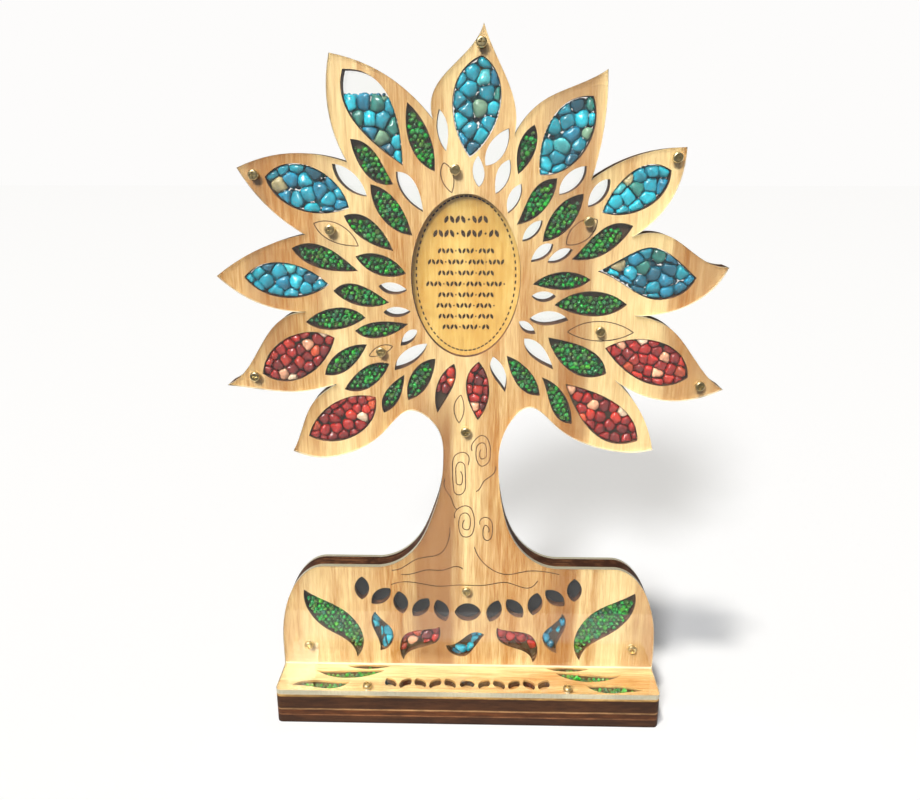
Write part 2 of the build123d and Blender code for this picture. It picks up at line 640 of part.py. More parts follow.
def chip_outlines(outline, spacing, level, rng):
    """Polygons that share out a window among its chips, with a gap round each."""
    face = Face(outline)
    seeds = chip_seeds(face, spacing, level, rng)
    wall = wall_points(outline, face)
    cells = []
    for seed in seeds:
        reach = chip_reach * spacing
        turn = rng.uniform(0, math.pi)
        corners = [turn + k * 2 * math.pi / chip_corners for k in range(chip_corners)]
        cell = [(seed[0] + reach * math.cos(c), seed[1] + reach * math.sin(c)) for c in corners]
        for other in seeds:
            gap = math.dist(seed, other)
            if 0 < gap < neighbour_range * spacing:
                normal = ((seed[0] - other[0]) / gap, (seed[1] - other[1]) / gap)
                half = gap / 2 - chip_gap / 2
                cell = inside_cell(cell, (seed[0] - normal[0] * half, seed[1] - normal[1] * half), normal)
        for point, normal in wall:
            if math.dist(seed, point) < wall_range * spacing:
                cell = inside_cell(cell, point, normal)
        cell = without_short_sides(cell)
        if len(cell) > 2 and area(cell) > smallest_chip * spacing ** 2:
            cells.append(cell)
    return cells


def without_short_sides(polygon):
    """A polygon with corners dropped where two stand too close together."""
    kept = []
    for corner in polygon:
        if all(math.dist(corner, other) > shortest_chip_side for other in kept):
            kept.append(corner)
    return kept


def wall_points(outline, face):
    """Points just inside a window's wall, each with the direction that leads inwards."""
    points = []
    for i in range(wall_samples):
        share = (i + 0.5) / wall_samples
        at_wall = outline.position_at(share)
        along = outline.tangent_at(share)
        inwards = Vector(-along.Y, along.X)
        if not face.is_inside(at_wall + inwards * wall_probe):
            inwards = -inwards
        point = at_wall + inwards * fill_clearance
        points.append(((point.X, point.Y), (inwards.X, inwards.Y)))
    return points


def chips(window, spacing, back_y, depth, level):
    """The chips of one window, resting on what closes its back."""
    rng = random.Random(str(window))
    solids = []
    for cell in chip_outlines(leaf(window), spacing, level, rng):
        face = on_upright(Face(Wire.make_polygon(cell)), back_y)
        solids.append(extrude(face, depth - fill_clearance, dir=(0, -1, 0), taper=chip_taper))
    return Compound(children=solids)


def inset(window, place=at):
    """A window's shape drawn in by the fill's clearance."""
    rim = leaf(window, place).offset_2d(-fill_clearance)
    return Face(Wire([Spline([edge @ (k / 6) for k in range(7)]) for edge in rim.edges()]))


# The sheets and inlays of the upright

def upright_front_cover():
    """The clear sheet over the front of the tree."""
    return upright_sheet(pierced(tree_outline(False), screw_holes()), face_front, front_cover_thickness)


def upright_back_cover():
    """The clear sheet that closes the windows at the back."""
    return upright_sheet(pierced(tree_outline(False), screw_holes()), upright_back, back_cover_thickness)


def screw_holes():
    """The holes for the screws through the upright."""
    return [circle(*at(x, z), screw_hole_radius) for x, z in UPRIGHT_SCREWS]


def through_openings():
    """The openings that both boards share: open leaves, turquoise windows and screw holes."""
    return [leaf(window) for window in [*OPEN_LEAVES, *TURQUOISE_WINDOWS.values()]] + screw_holes()


def upright_face_board():
    """The front board: every window, the ornament, the oval opening, and engraved strokes."""
    windows = [*CORAL_WINDOWS.values(), *GREEN_WINDOWS.values(), *PANEL_WINDOWS.values()]
    holes = through_openings() + [leaf(window) for window in windows] + ornament_leaves()
    holes.append(oval(plaque_half_width, plaque_half_height))
    board = upright_sheet(pierced(tree_outline(True), holes), rear_front, board_thickness)
    return board - strokes_cut(engraved_faces(), face_front)


def strokes_cut(faces, surface_y):
    """The volume an engraving takes out of the front of a board."""
    return [extrude(on_upright(face, surface_y), engraving_depth, dir=(0, 1, 0)) for face in faces]


def plaque_outline(grow):
    """The plaque's rim, or its seat."""
    grow += plaque_overlap
    return oval(plaque_half_width + grow, plaque_half_height + grow)


def upright_rear_board():
    """The back board: the through openings, the plaque's seat, and a pocket for the black strip."""
    holes = through_openings() + [plaque_outline(inlay_clearance)]
    board = upright_sheet(pierced(tree_outline(True), holes), cover_front, board_thickness)
    pocket_floor = rear_front + strip_thickness
    return board - upright_sheet(Face(strip_outline(inlay_clearance)), pocket_floor, strip_thickness)


def message_plaque():
    """The golden oval, engraved with stitches and rows of marks."""
    plaque = upright_sheet(Face(plaque_outline(0)), cover_front, board_thickness)
    return plaque - strokes_cut(stitches() + message_leaves(), rear_front)


def ornament_backing():
    """The black strip seen through the row of ornament leaves."""
    return upright_sheet(Face(strip_outline(0)), rear_front + strip_thickness, strip_thickness)


# The base

def base_screw_holes(radius=screw_hole_radius):
    """The holes for the screws through the base."""
    return [circle(*on_base(x, y), radius) for x, y in BASE_SCREWS]


def base_outline():
    """The rim of every board of the base."""
    return box_outline(0, 0, base_width, base_depth, base_corner_radius)


def base_board(index, holes):
    """One plywood board of the base, counted up from the bottom."""
    return base_sheet(pierced(base_outline(), holes), index * board_thickness, board_thickness)


def base_cover():
    """The clear sheet on the base, slotted for the foot tabs."""
    face = pierced(base_outline(), slots() + base_screw_holes())
    return base_sheet(face, base_height - base_cover_thickness, base_cover_thickness)


def base_window_board():
    """The top board, with the ledge's leaf windows and its row of ornament."""
    windows = [leaf(window, on_base) for group in LEDGE_WINDOWS.values() for window in group]
    return base_board(3, slots() + base_screw_holes() + windows + ledge_ornament())


def base_floor_board():
    """The board under the ledge's windows."""
    return base_board(2, slots() + base_screw_holes())


def base_core_board():
    """The lowest board that the foot tabs enter."""
    return base_board(1, slots() + base_screw_holes())


def base_bottom_board():
    """The closed board that the tabs stand on, with pockets for the nuts."""
    board = base_board(0, base_screw_holes())
    pockets = [Pos(*on_base(x, y)) * RegularPolygon(nut_width / 2 + slot_clearance, 6, major_radius=False)
               for x, y in BASE_SCREWS]
    return board - [extrude(pocket, nut_pocket_depth, dir=(0, 0, 1)) for pocket in pockets]


# Screws and nuts

def screw(grip):
    """A small domed screw: the underside of its head is at z=0 and its shank points down."""
    radius = screw_head_diameter / 2
    head = extrude(Circle(radius), screw_head_height)
    head = fillet(head.edges().group_by(Axis.Z)[-1], head_rounding * screw_head_height)
    length = recess_length * screw_head_diameter
    cross = Box(length, recess_width, screw_head_height) + Box(recess_width, length, screw_head_height)
    head -= Pos(0, 0, screw_head_height) * cross
    return head + extrude(Circle(screw_diameter / 2), -grip)


def nut():
    """A hexagon nut standing on z=0, its bore just clear of the screw."""
    bore = Circle(screw_diameter / 2 + bore_clearance)
    return extrude(RegularPolygon(nut_width / 2, 6, major_radius=False) - bore, nut_thickness)


def upright_screws():
    """All the screws through the upright, as separate pieces."""
    one = Rot(90, 0, 0) * screw(upright_back - upright_front + nut_thickness + screw_point)
    return group([Pos(x, upright_front, z) * one for x, z in [at(*p) for p in UPRIGHT_SCREWS]])


def upright_nuts():
    """The nuts behind the upright."""
    one = Rot(-90, 0, 0) * nut()
    return group([Pos(x, upright_back, z) * one for x, z in [at(*p) for p in UPRIGHT_SCREWS]])


def base_screws():
    """The screws down through the base."""
    one = screw(base_height - nut_pocket_depth + nut_thickness)
    return group([Pos(x, y, base_height) * one for x, y in [on_base(*p) for p in BASE_SCREWS]])


def base_nuts():
    """The nuts sunk in the base's underside."""
    low = nut_pocket_depth - nut_thickness
    return group([Pos(x, y, low) * nut() for x, y in [on_base(*p) for p in BASE_SCREWS]])


def group(solids):
    """Several separate pieces kept together under one name."""
    return Compound(children=solids)


# Fills

def granules(window):
    """The bed of small glass granules in one window, resting on the rear board."""
    return upright_sheet(inset(window), rear_front, board_thickness - fill_clearance)


def ledge_granules(windows):
    """The beds of granules in one side of the ledge."""
    floor = 3 * board_thickness
    beds = [base_sheet(inset(window, on_base), floor, board_thickness - fill_clearance) for window in windows]
    return group(beds)


def build_all():
    """Every piece by name."""
    pieces = {
        "upright_front_cover": upright_front_cover(),
        "upright_face_board": upright_face_board(),
        "upright_rear_board": upright_rear_board(),
        "upright_back_cover": upright_back_cover(),
        "message_plaque": message_plaque(),
        "ornament_backing": ornament_backing(),
        "upright_screws": upright_screws(),
        "upright_nuts": upright_nuts(),
        "base_cover": base_cover(),
        "base_window_board": base_window_board(),
        "base_floor_board": base_floor_board(),
        "base_core_board": base_core_board(),
        "base_bottom_board": base_bottom_board(),
        "base_screws": base_screws(),
        "base_nuts": base_nuts(),
    }
    brim = base_height + tree_height
    for name, window in TURQUOISE_WINDOWS.items():
        level = at(0, settled_level)[1] if name == "turquoise_upper_left" else brim
        pieces[name] = chips(window, turquoise_spacing, cover_front, 2 * board_thickness, level)
    for name, window in CORAL_WINDOWS.items():
        pieces[name] = chips(window, coral_spacing, rear_front, board_thickness, brim)
    for name, window in PANEL_WINDOWS.items():
        pieces[name] = chips(window, panel_spacing, rear_front, board_thickness, brim)
    for name, window in GREEN_WINDOWS.items():
        pieces[name] = granules(window)
    for name, windows in LEDGE_WINDOWS.items():
        pieces[name] = ledge_granules(windows)
    return pieces


os.makedirs("parts", exist_ok=True)
for node, piece in build_all().items():
    export_step(piece, f"parts/{node}.step")
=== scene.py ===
import math
import random

import bmesh
import bpy
from bpy.props import FloatProperty, FloatVectorProperty, IntProperty, PointerProperty
from mathutils import Euler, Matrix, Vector, noise
from mathutils.bvhtree import BVHTree


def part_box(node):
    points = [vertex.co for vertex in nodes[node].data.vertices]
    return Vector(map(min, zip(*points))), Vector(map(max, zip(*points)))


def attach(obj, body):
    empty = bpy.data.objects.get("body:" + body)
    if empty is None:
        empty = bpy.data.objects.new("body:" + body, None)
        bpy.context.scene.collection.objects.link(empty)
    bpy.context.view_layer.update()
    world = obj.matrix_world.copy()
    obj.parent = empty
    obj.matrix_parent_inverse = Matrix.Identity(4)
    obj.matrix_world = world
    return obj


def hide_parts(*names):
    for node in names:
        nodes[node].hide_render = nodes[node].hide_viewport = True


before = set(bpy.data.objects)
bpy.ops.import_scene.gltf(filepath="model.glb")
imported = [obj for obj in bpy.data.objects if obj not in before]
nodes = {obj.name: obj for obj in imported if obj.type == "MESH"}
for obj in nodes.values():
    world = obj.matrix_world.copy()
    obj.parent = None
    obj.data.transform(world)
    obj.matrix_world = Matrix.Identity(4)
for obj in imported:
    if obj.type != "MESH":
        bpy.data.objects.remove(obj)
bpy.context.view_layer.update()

bl_info = {
    "name": "Tree Stand Finishes",
    "version": (1, 0, 0),
    "blender": (4, 5, 0),
    "location": "3D View > Sidebar > Tree Stand",
    "description": "Gives the tree stand its wood, clear sheets, stones, granules and stage",
    "category": "Object",
}

MM = 0.001
BODY = "root"
SAME_POINT = 0.001 * MM        # points closer than this are one
SURFACE = 0.05 * MM            # deeper than this below a face is engraving
DEEPEST_STROKE = 0.3 * MM      # deeper than this below a face is the sheet's own wall or back
SOOT_SCALE = 260.0
STONE_SHARPNESS = 9.0          # higher gives stones squarer corners
STONE_FINENESS = 3             # subdivisions of the ball that a stone is shaped from
STONE_DEPTHS = (0.74, 0.98)    # shares of a layer's thickness that a stone in front takes
BACK_DEPTHS = (0.8, 0.98)      # the same for a stone behind
BACK_SIZES = (0.45, 1.15)      # smallest and largest stone behind, as shares of the usual one
BACK_CROWDING = 0.55           # lower lets stones behind stand closer
SMALLEST_BACK = 0.12           # least radius of a stone behind, in usual widths
BACK_RANGE = 0.8               # farthest a stone behind stands from one in front, in usual widths
GRANULE_FINENESS = 2
GRANULE_PITCH = 0.88           # between granules in a row, in usual widths
GRANULE_ROW = 0.87             # between rows, in pitches
GRANULE_SIZES = (0.62, 1.08)
GRANULE_ROOM = 0.3             # least distance to a wall, in the granule's own widths


def srgb(red, green, blue):
    """A display colour, 0 to 255 a channel, as the linear colour that shaders take."""
    channels = [c / 255 for c in (red, green, blue)]
    return tuple(c / 12.92 if c <= 0.04045 else ((c + 0.055) / 1.055) ** 2.4 for c in channels) + (1.0,)


def colour(name, description, default):
    """A colour that a user can change."""
    return FloatVectorProperty(name=name, description=description, subtype="COLOR", size=4, min=0, max=1,
                               default=default)


def length(name, description, default):
    """A length that a user can change, in metres."""
    return FloatProperty(name=name, description=description, subtype="DISTANCE", unit="LENGTH", min=0,
                         precision=5, default=default)


def share(name, description, default):
    """A share from 0 to 1 that a user can change."""
    return FloatProperty(name=name, description=description, subtype="FACTOR", min=0, max=1, default=default)


class WoodSettings(bpy.types.PropertyGroup):
    """Colours and grain of the plywood, and the painted shade on the rear board's front."""

    light: colour("Light veneer", "Palest bands of the birch face", srgb(218, 190, 138))
    dark: colour("Dark veneer", "Darker bands of the birch face", srgb(162, 108, 46))
    heart: colour("Heartwood", "Brown streaks in the birch face", srgb(128, 72, 24))
    burnt: colour("Burnt edge", "Walls and strokes left by the laser", srgb(66, 38, 22))
    # Painted shade: the rear board's front, seen at the back of the windows, gets this dark colour to stand
    # for the shade in those pockets; the board itself is birch.
    painted_shade: colour("Rear face", "Front of the rear board, seen in the windows", srgb(70, 54, 36))
    plaque: colour("Plaque", "Stained face of the oval plaque", srgb(198, 160, 84))
    plaque_dark: colour("Plaque bands", "Darker bands of the plaque", srgb(186, 136, 52))
    fibre: length("Fibre width", "Width of the finest fibres in the grain", 0.45 * MM)
    band: length("Band width", "Width of the broad bands in the grain", 11 * MM)
    stretch: FloatProperty(name="Grain stretch", description="How many times longer than wide the grain is",
                           min=1, default=16)


class StoneSettings(bpy.types.PropertyGroup):
    """Shape and gloss of the tumbled stones."""

    turquoise: colour("Turquoise", "Commonest colour of the blue stones", srgb(0, 146, 170))
    coral: colour("Coral", "Commonest colour of the red stones", srgb(160, 20, 8))
    matrix: colour("Matrix", "Veins and pits in the stones", srgb(70, 52, 34))
    slack: share("Slack", "How much smaller a stone is than its place", 0.0)
    back_size: length("Back stones", "Usual width of the stones at the back of a deep window", 5.0 * MM)
    tries: IntProperty(name="Tries", description="How many places are tried for the back stones",
                       default=5000)
    tumble: share("Tumble", "Unevenness of a stone's surface", 0.16)
    lean: FloatProperty(name="Lean", description="Most that a stone leans out of the sheet's plane",
                        subtype="ANGLE", unit="ROTATION", default=math.radians(16))
    seed: IntProperty(name="Seed", description="Start of the random draws", default=7)


class GlassSettings(bpy.types.PropertyGroup):
    """The granules and the clear sheets."""

    granule: length("Granule size", "Usual width of one granule", 2.0 * MM)
    pale: colour("Pale granule", "Lightest glass", srgb(90, 184, 84))
    deep: colour("Deep granule", "Darkest glass", srgb(18, 104, 40))
    fill: share("Fill", "Share of a window's height that the granules reach", 0.9)
    sheet: colour("Sheet", "Tint of the clear sheets", srgb(255, 255, 254))
    edge: colour("Sheet edge", "Sawn edges of the clear sheets", srgb(206, 196, 158))
    air: length("Air gap", "Hair of air between a clear sheet and the board it lies on", 0.04 * MM)
    seed: IntProperty(name="Seed", description="Start of the random draws", default=11)


class MetalSettings(bpy.types.PropertyGroup):
    """The screws and nuts."""

    brass: colour("Brass", "Bright brass", srgb(240, 222, 172))
    tarnish: colour("Tarnish", "Brass in recesses and stains", srgb(150, 118, 62))


class StageSettings(bpy.types.PropertyGroup):
    """Camera, light and floor."""

    lens: FloatProperty(name="Lens", description="Focal length in millimetres", subtype="DISTANCE_CAMERA",
                        default=31.304)
    camera: FloatVectorProperty(name="Camera", description="Where the camera stands", subtype="TRANSLATION",
                                unit="LENGTH", default=(0.003458, -0.273152, 0.202460))
    pitch: FloatProperty(name="Pitch", description="How far the camera looks down", subtype="ANGLE",
                         unit="ROTATION", default=math.radians(16.85))
    turn: FloatProperty(name="Turn", description="How far the camera turns left", subtype="ANGLE",
                        unit="ROTATION", default=math.radians(1.37))
    reach: length("Floor reach", "How far the floor goes behind and beside the stand", 6.0)
    apron: length("Floor apron", "How far the floor goes in front of the stand", 0.045)
    floor: colour("Floor", "The pale sweep", srgb(250, 250, 250))
    backdrop: colour("Backdrop", "What is seen beyond the floor", srgb(253, 252, 251))
    lamp: FloatProperty(name="Lamp", description="Strength of the light overhead", default=1.6)
    lamp_from: FloatVectorProperty(name="Lamp from", description="Where the light overhead comes from",
                                   subtype="DIRECTION", default=(-2.4, -3.0, 9.9))
    window: FloatProperty(name="Window", description="Strength of the soft light from front left",
                          default=2.15)
    window_from: FloatVectorProperty(name="Window from", description="Where the soft light comes from",
                                     subtype="DIRECTION", default=(-0.287, -0.788, 0.545))
    sky: FloatProperty(name="Sky", description="Strength of the even light all round", default=0.1)
    glow: FloatProperty(name="Glow", description="Light that the pale floor gives of itself", default=0.14)


# Building shaders

def node(tree, kind, inputs=None, **settings):
    """Add a shader node, set its options, and fill its inputs with values or links."""
    made = tree.nodes.new(kind)
    for name, value in settings.items():
        setattr(made, name, value)
    for name, value in (inputs or {}).items():
        if isinstance(value, bpy.types.NodeSocket):
            tree.links.new(value, made.inputs[name])
        else:
            made.inputs[name].default_value = value
    return made


def maths(tree, operation, *values):
    """One step of arithmetic."""
    return node(tree, "ShaderNodeMath", dict(enumerate(values)), operation=operation).outputs[0]


def blended(tree, factor, first, second, blend="MIX"):
    """A mix of two colours."""
    made = node(tree, "ShaderNodeMix", data_type="RGBA", blend_type=blend)
    for index, value in ((0, factor), (6, first), (7, second)):
        if isinstance(value, bpy.types.NodeSocket):
            tree.links.new(value, made.inputs[index])
        else:
            made.inputs[index].default_value = value
    return made.outputs[2]


def speckle(tree, vector, scale, detail=2.0, roughness=0.5, distortion=0.0):
    """A noise pattern's value."""
    inputs = {"Vector": vector, "Scale": scale, "Detail": detail, "Roughness": roughness,
              "Distortion": distortion}
    return node(tree, "ShaderNodeTexNoise", inputs).outputs["Fac"]


def between(tree, value, low, high):
    """A value stretched so that low becomes 0 and high becomes 1."""
    inputs = {"Value": value, "From Min": low, "From Max": high}
    return node(tree, "ShaderNodeMapRange", inputs, interpolation_type="SMOOTHSTEP").outputs["Result"]


def scaled(tree, vector, scale):
    """Coordinates scaled along each axis."""
    return node(tree, "ShaderNodeMapping", {"Vector": vector, "Scale": scale}).outputs["Vector"]


def ramp(tree, value, stops):
    """A colour ramp from (place, colour) pairs."""
    made = node(tree, "ShaderNodeValToRGB", {"Fac": value})
    bar = made.color_ramp
    while len(bar.elements) < len(stops):
        bar.elements.new(0.5)
    for element, (place, shade) in zip(bar.elements, stops):
        element.position = place
        element.color = shade
    return made.outputs["Color"]


def new_group(name, inputs, outputs):
    """An empty shader group with its sockets, and its two end nodes."""
    kinds = {"colour": "NodeSocketColor", "value": "NodeSocketFloat", "vector": "NodeSocketVector"}
    group = bpy.data.node_groups.new(name, "ShaderNodeTree")
    for side, sockets in (("INPUT", inputs), ("OUTPUT", outputs)):
        for socket, kind in sockets.items():
            group.interface.new_socket(name=socket, in_out=side, socket_type=kinds[kind])
    return group, group.nodes.new("NodeGroupInput"), group.nodes.new("NodeGroupOutput")


def placed(tree, group, inputs):
    """A group used in a material."""
    return node(tree, "ShaderNodeGroup", inputs, node_tree=group).outputs


def cached(name, build):
    """A group by name, built the first time it is asked for."""
    return bpy.data.node_groups.get(name) or build(name)


def build_veneer(name):
    """Straight grain: broad bands, brown streaks, fine fibres and short pores."""
    group, given, made = new_group(
        name,
        {"Vector": "vector", "Light": "colour", "Dark": "colour", "Streak": "colour",
         "Streak Amount": "value", "Fibre Scale": "value", "Band Scale": "value"},
        {"Color": "colour", "Height": "value"},
    )
    vector = given.outputs["Vector"]
    fibre = speckle(group, vector, given.outputs["Fibre Scale"], 4.0, 0.6)
    band = speckle(group, vector, given.outputs["Band Scale"], 2.0, 0.5, 0.4)
    wide = maths(group, "MULTIPLY", given.outputs["Band Scale"], 0.45)
    streak = between(group, speckle(group, vector, wide, 3.0, 0.55, 0.8), 0.5, 0.72)
    pore_scale = maths(group, "MULTIPLY", given.outputs["Fibre Scale"], 0.7)
    pores = between(group, speckle(group, vector, pore_scale, 1.0), 0.66, 0.74)
    strand_scale = maths(group, "MULTIPLY", given.outputs["Fibre Scale"], 0.3)
    strand = speckle(group, vector, strand_scale, 3.0, 0.6)
    fine = maths(group, "MULTIPLY_ADD", strand, 1.3, maths(group, "MULTIPLY", fibre, 1.3))
    tone = maths(group, "ADD", maths(group, "MULTIPLY", between(group, band, 0.32, 0.7), 0.7),
                 maths(group, "SUBTRACT", fine, 1.15))
    tone = maths(group, "MAXIMUM", tone, 0.0)
    wood = blended(group, tone, given.outputs["Light"], given.outputs["Dark"])
    streaked = maths(group, "MULTIPLY", streak, given.outputs["Streak Amount"])
    wood = blended(group, streaked, wood, given.outputs["Streak"])
    wood = blended(group, maths(group, "MULTIPLY", pores, 0.22), wood, given.outputs["Streak"])
    group.links.new(wood, made.inputs["Color"])
    height = maths(group, "SUBTRACT", fibre, maths(group, "MULTIPLY", pores, 0.5))
    group.links.new(height, made.inputs["Height"])
    return group


def build_soot(name):
    """A laser-cut surface: streaks of char over the bare layers."""
    group, given, made = new_group(
        name, {"Vector": "vector", "Bare": "colour", "Burnt": "colour", "Scale": "value"},
        {"Color": "colour", "Height": "value"},
    )
    vector = given.outputs["Vector"]
    fine = speckle(group, vector, given.outputs["Scale"], 5.0, 0.7)
    broad = speckle(group, vector, maths(group, "MULTIPLY", given.outputs["Scale"], 0.2), 2.0)
    both = maths(group, "ADD", maths(group, "MULTIPLY", fine, 0.6), maths(group, "MULTIPLY", broad, 0.4))
    char = between(group, both, 0.34, 0.62)
    group.links.new(blended(group, char, given.outputs["Bare"], given.outputs["Burnt"]), made.inputs["Color"])
    group.links.new(fine, made.inputs["Height"])
    return group


def build_mottle(name):
    """Polished stone: clouds over the stone's own tint, with darker veins and small pits."""
    group, given, made = new_group(
        name,
        {"Vector": "vector", "Tint": "colour", "Vein": "colour", "Vein Amount": "value", "Scale": "value"},
        {"Color": "colour", "Roughness": "value", "Height": "value"},
    )
    vector = given.outputs["Vector"]
    scale = given.outputs["Scale"]
    cloud = speckle(group, vector, scale, 3.0, 0.6)
    fine = speckle(group, vector, maths(group, "MULTIPLY", scale, 3.1), 3.0, 0.6)
    winding = speckle(group, vector, maths(group, "MULTIPLY", scale, 0.8), 4.0, 0.6, 0.7)
    line = maths(group, "ABSOLUTE", maths(group, "SUBTRACT", winding, 0.5))
    vein = maths(group, "SUBTRACT", 1.0, between(group, line, 0.0, 0.022))
    vein = maths(group, "MULTIPLY", vein, between(group, cloud, 0.45, 0.62))
    pits = between(group, fine, 0.66, 0.72)
    marks = maths(group, "MULTIPLY", maths(group, "MAXIMUM", vein, pits), given.outputs["Vein Amount"])
    darker = blended(group, 1.0, given.outputs["Tint"], (0.62, 0.62, 0.62, 1.0), "MULTIPLY")
    body = blended(group, between(group, cloud, 0.62, 0.36), given.outputs["Tint"], darker)
    group.links.new(blended(group, marks, body, given.outputs["Vein"]), made.inputs["Color"])
    group.links.new(maths(group, "ADD", maths(group, "MULTIPLY", fine, 0.2),
                          maths(group, "MULTIPLY", marks, 0.3)), made.inputs["Roughness"])
    group.links.new(maths(group, "SUBTRACT", fine, marks), made.inputs["Height"])
    return group


def new_material(name, roughness=0.5, **plain):
    """A material with one Principled shader, and its tree, shader and coordinates."""
    material = bpy.data.materials.new(name)
    material.use_nodes = True
    tree = material.node_tree
    tree.nodes.clear()
    shader = node(tree, "ShaderNodeBsdfPrincipled", {"Roughness": roughness})
    for socket, value in plain.items():
        shader.inputs[socket.replace("_", " ")].default_value = value
    node(tree, "ShaderNodeOutputMaterial", {"Surface": shader.outputs["BSDF"]})
    place = node(tree, "ShaderNodeTexCoord").outputs["Object"]
    return material, tree, shader, place


def bumped(tree, shader, height, distance):
    """Give the shader a fine relief."""
    relief = node(tree, "ShaderNodeBump", {"Height": height, "Distance": distance, "Strength": 1.0})
    tree.links.new(relief.outputs["Normal"], shader.inputs["Normal"])


def facing(tree, axis):
    """The true normal's part along an axis, 0, 1 or 2."""
    normal = node(tree, "ShaderNodeNewGeometry").outputs["True Normal"]
    return node(tree, "ShaderNodeSeparateXYZ", {"Vector": normal}).outputs[axis]


def part_of(tree, vector, axis):
    """One coordinate of a point."""
    return node(tree, "ShaderNodeSeparateXYZ", {"Vector": vector}).outputs[axis]


def grain_vector(tree, place, wood, along):
    """Coordinates drawn out along the grain, axis 0 or 2."""
    scale = [1.0, 1.0, 1.0]
    scale[along] = 1 / wood.stretch
    return scaled(tree, place, scale)


def veneer(tree, place, wood, along, light, dark, streak_amount):
    """The birch veneer's colour and height."""
    inputs = {
        "Vector": grain_vector(tree, place, wood, along), "Light": light, "Dark": dark, "Streak": wood.heart,
        "Streak Amount": streak_amount, "Fibre Scale": 1 / wood.fibre, "Band Scale": 1 / wood.band,
    }
    return placed(tree, cached("Veneer", build_veneer), inputs)


def burnt(tree, place, wood, bare):
    """Colour and height of a laser-cut surface."""
    inputs = {"Vector": place, "Bare": bare, "Burnt": wood.burnt, "Scale": SOOT_SCALE}
    return placed(tree, cached("Soot", build_soot), inputs)


def heart_mask(tree, place):
    """A brown band that climbs the left half of the trunk."""
    x = part_of(tree, place, 0)
    z = part_of(tree, place, 2)
    sway = speckle(tree, scaled(tree, place, (1.0, 1.0, 0.12)), 160.0, 3.0, 0.6)
    edge = maths(tree, "ADD", x, maths(tree, "MULTIPLY", sway, 0.012))
    left = between(tree, edge, -0.020, -0.011)
    right = between(tree, edge, 0.004, -0.002)
    high = between(tree, z, 0.135, 0.105)
    return maths(tree, "MULTIPLY", maths(tree, "MULTIPLY", left, right), high)


def board_material(name, wood, front_y, painted_shade_front):
    """A board of the upright: veneer on its faces, char on its cut walls and in its strokes; with
    painted_shade_front its front face gets a painted shade colour in place of veneer.
    """
    material, tree, shader, place = new_material(name, 0.5, Specular_IOR_Level=0.25)
    grain = veneer(tree, place, wood, 2, wood.light, wood.dark, 0.55)
    across = facing(tree, 1)
    wall = maths(tree, "LESS_THAN", maths(tree, "ABSOLUTE", across), 0.5)
    front = maths(tree, "LESS_THAN", across, -0.5)
    plies = speckle(tree, scaled(tree, place, (0.1, 1.0, 0.1)), 1100.0, 2.0)
    layer = blended(tree, between(tree, plies, 0.35, 0.65), wood.burnt, srgb(142, 94, 62))
    char = burnt(tree, place, wood, layer)
    if painted_shade_front:
        # Painted shade: the front face takes the dark painted shade colour in place of the veneer.
        face = blended(tree, front, grain["Color"], wood.painted_shade)
        cut = wall
    else:
        heart = maths(tree, "MULTIPLY", heart_mask(tree, place), 0.8)
        face = blended(tree, heart, grain["Color"], wood.heart)
        stroke = maths(tree, "GREATER_THAN", part_of(tree, place, 1), front_y + SURFACE)
        cut = maths(tree, "MAXIMUM", wall, maths(tree, "MULTIPLY", front, stroke))
    tree.links.new(blended(tree, cut, face, char["Color"]), shader.inputs["Base Color"])
    height = node(tree, "ShaderNodeMix", {"Factor": cut, "A": grain["Height"], "B": char["Height"]})
    tree.links.new(maths(tree, "MULTIPLY_ADD", cut, 0.3, 0.42), shader.inputs["Roughness"])
    bumped(tree, shader, height.outputs["Result"], 0.05 * MM)
    return material


def base_material(wood):
    """The stacked base: veneer on top and below, layered char round the sides."""
    material, tree, shader, place = new_material("Base Plywood", 0.5, Specular_IOR_Level=0.25)
    grain = veneer(tree, place, wood, 0, wood.light, wood.dark, 0.35)
    side = maths(tree, "LESS_THAN", maths(tree, "ABSOLUTE", facing(tree, 2)), 0.5)
    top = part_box("base_window_board")[1].z
    wander = speckle(tree, scaled(tree, place, (0.12, 0.12, 1.0)), 200.0, 3.0)
    height = maths(tree, "MULTIPLY_ADD", wander, 0.35 * MM, part_of(tree, place, 2))
    level = maths(tree, "DIVIDE", maths(tree, "SUBTRACT", height, 0.17 * MM), top)
    char = srgb(84, 50, 26)
    tan = srgb(196, 146, 96)
    stops = [
        (0.0, srgb(48, 30, 18)), (0.07, srgb(80, 48, 26)), (0.25, srgb(92, 54, 28)),
        (0.275, srgb(176, 116, 74)), (0.31, srgb(110, 62, 30)), (0.45, srgb(112, 62, 28)),
        (0.465, tan), (0.5, tan), (0.52, char),
        (0.915, char), (0.935, srgb(214, 160, 88)), (1.0, srgb(244, 200, 128)),
    ]
    layers = ramp(tree, level, stops)
    streaky = scaled(tree, place, (0.16, 0.16, 1.0))
    soot = placed(tree, cached("Soot", build_soot),
                  {"Vector": streaky, "Bare": layers, "Burnt": srgb(40, 23, 13), "Scale": 900.0})
    edge = blended(tree, 0.7, layers, soot["Color"])
    tree.links.new(blended(tree, side, grain["Color"], edge), shader.inputs["Base Color"])
    tree.links.new(maths(tree, "MULTIPLY_ADD", side, 0.2, 0.45), shader.inputs["Roughness"])
    relief = node(tree, "ShaderNodeMix", {"Factor": side, "A": grain["Height"], "B": soot["Height"]})
    bumped(tree, shader, relief.outputs["Result"], 0.12 * MM)
    return material


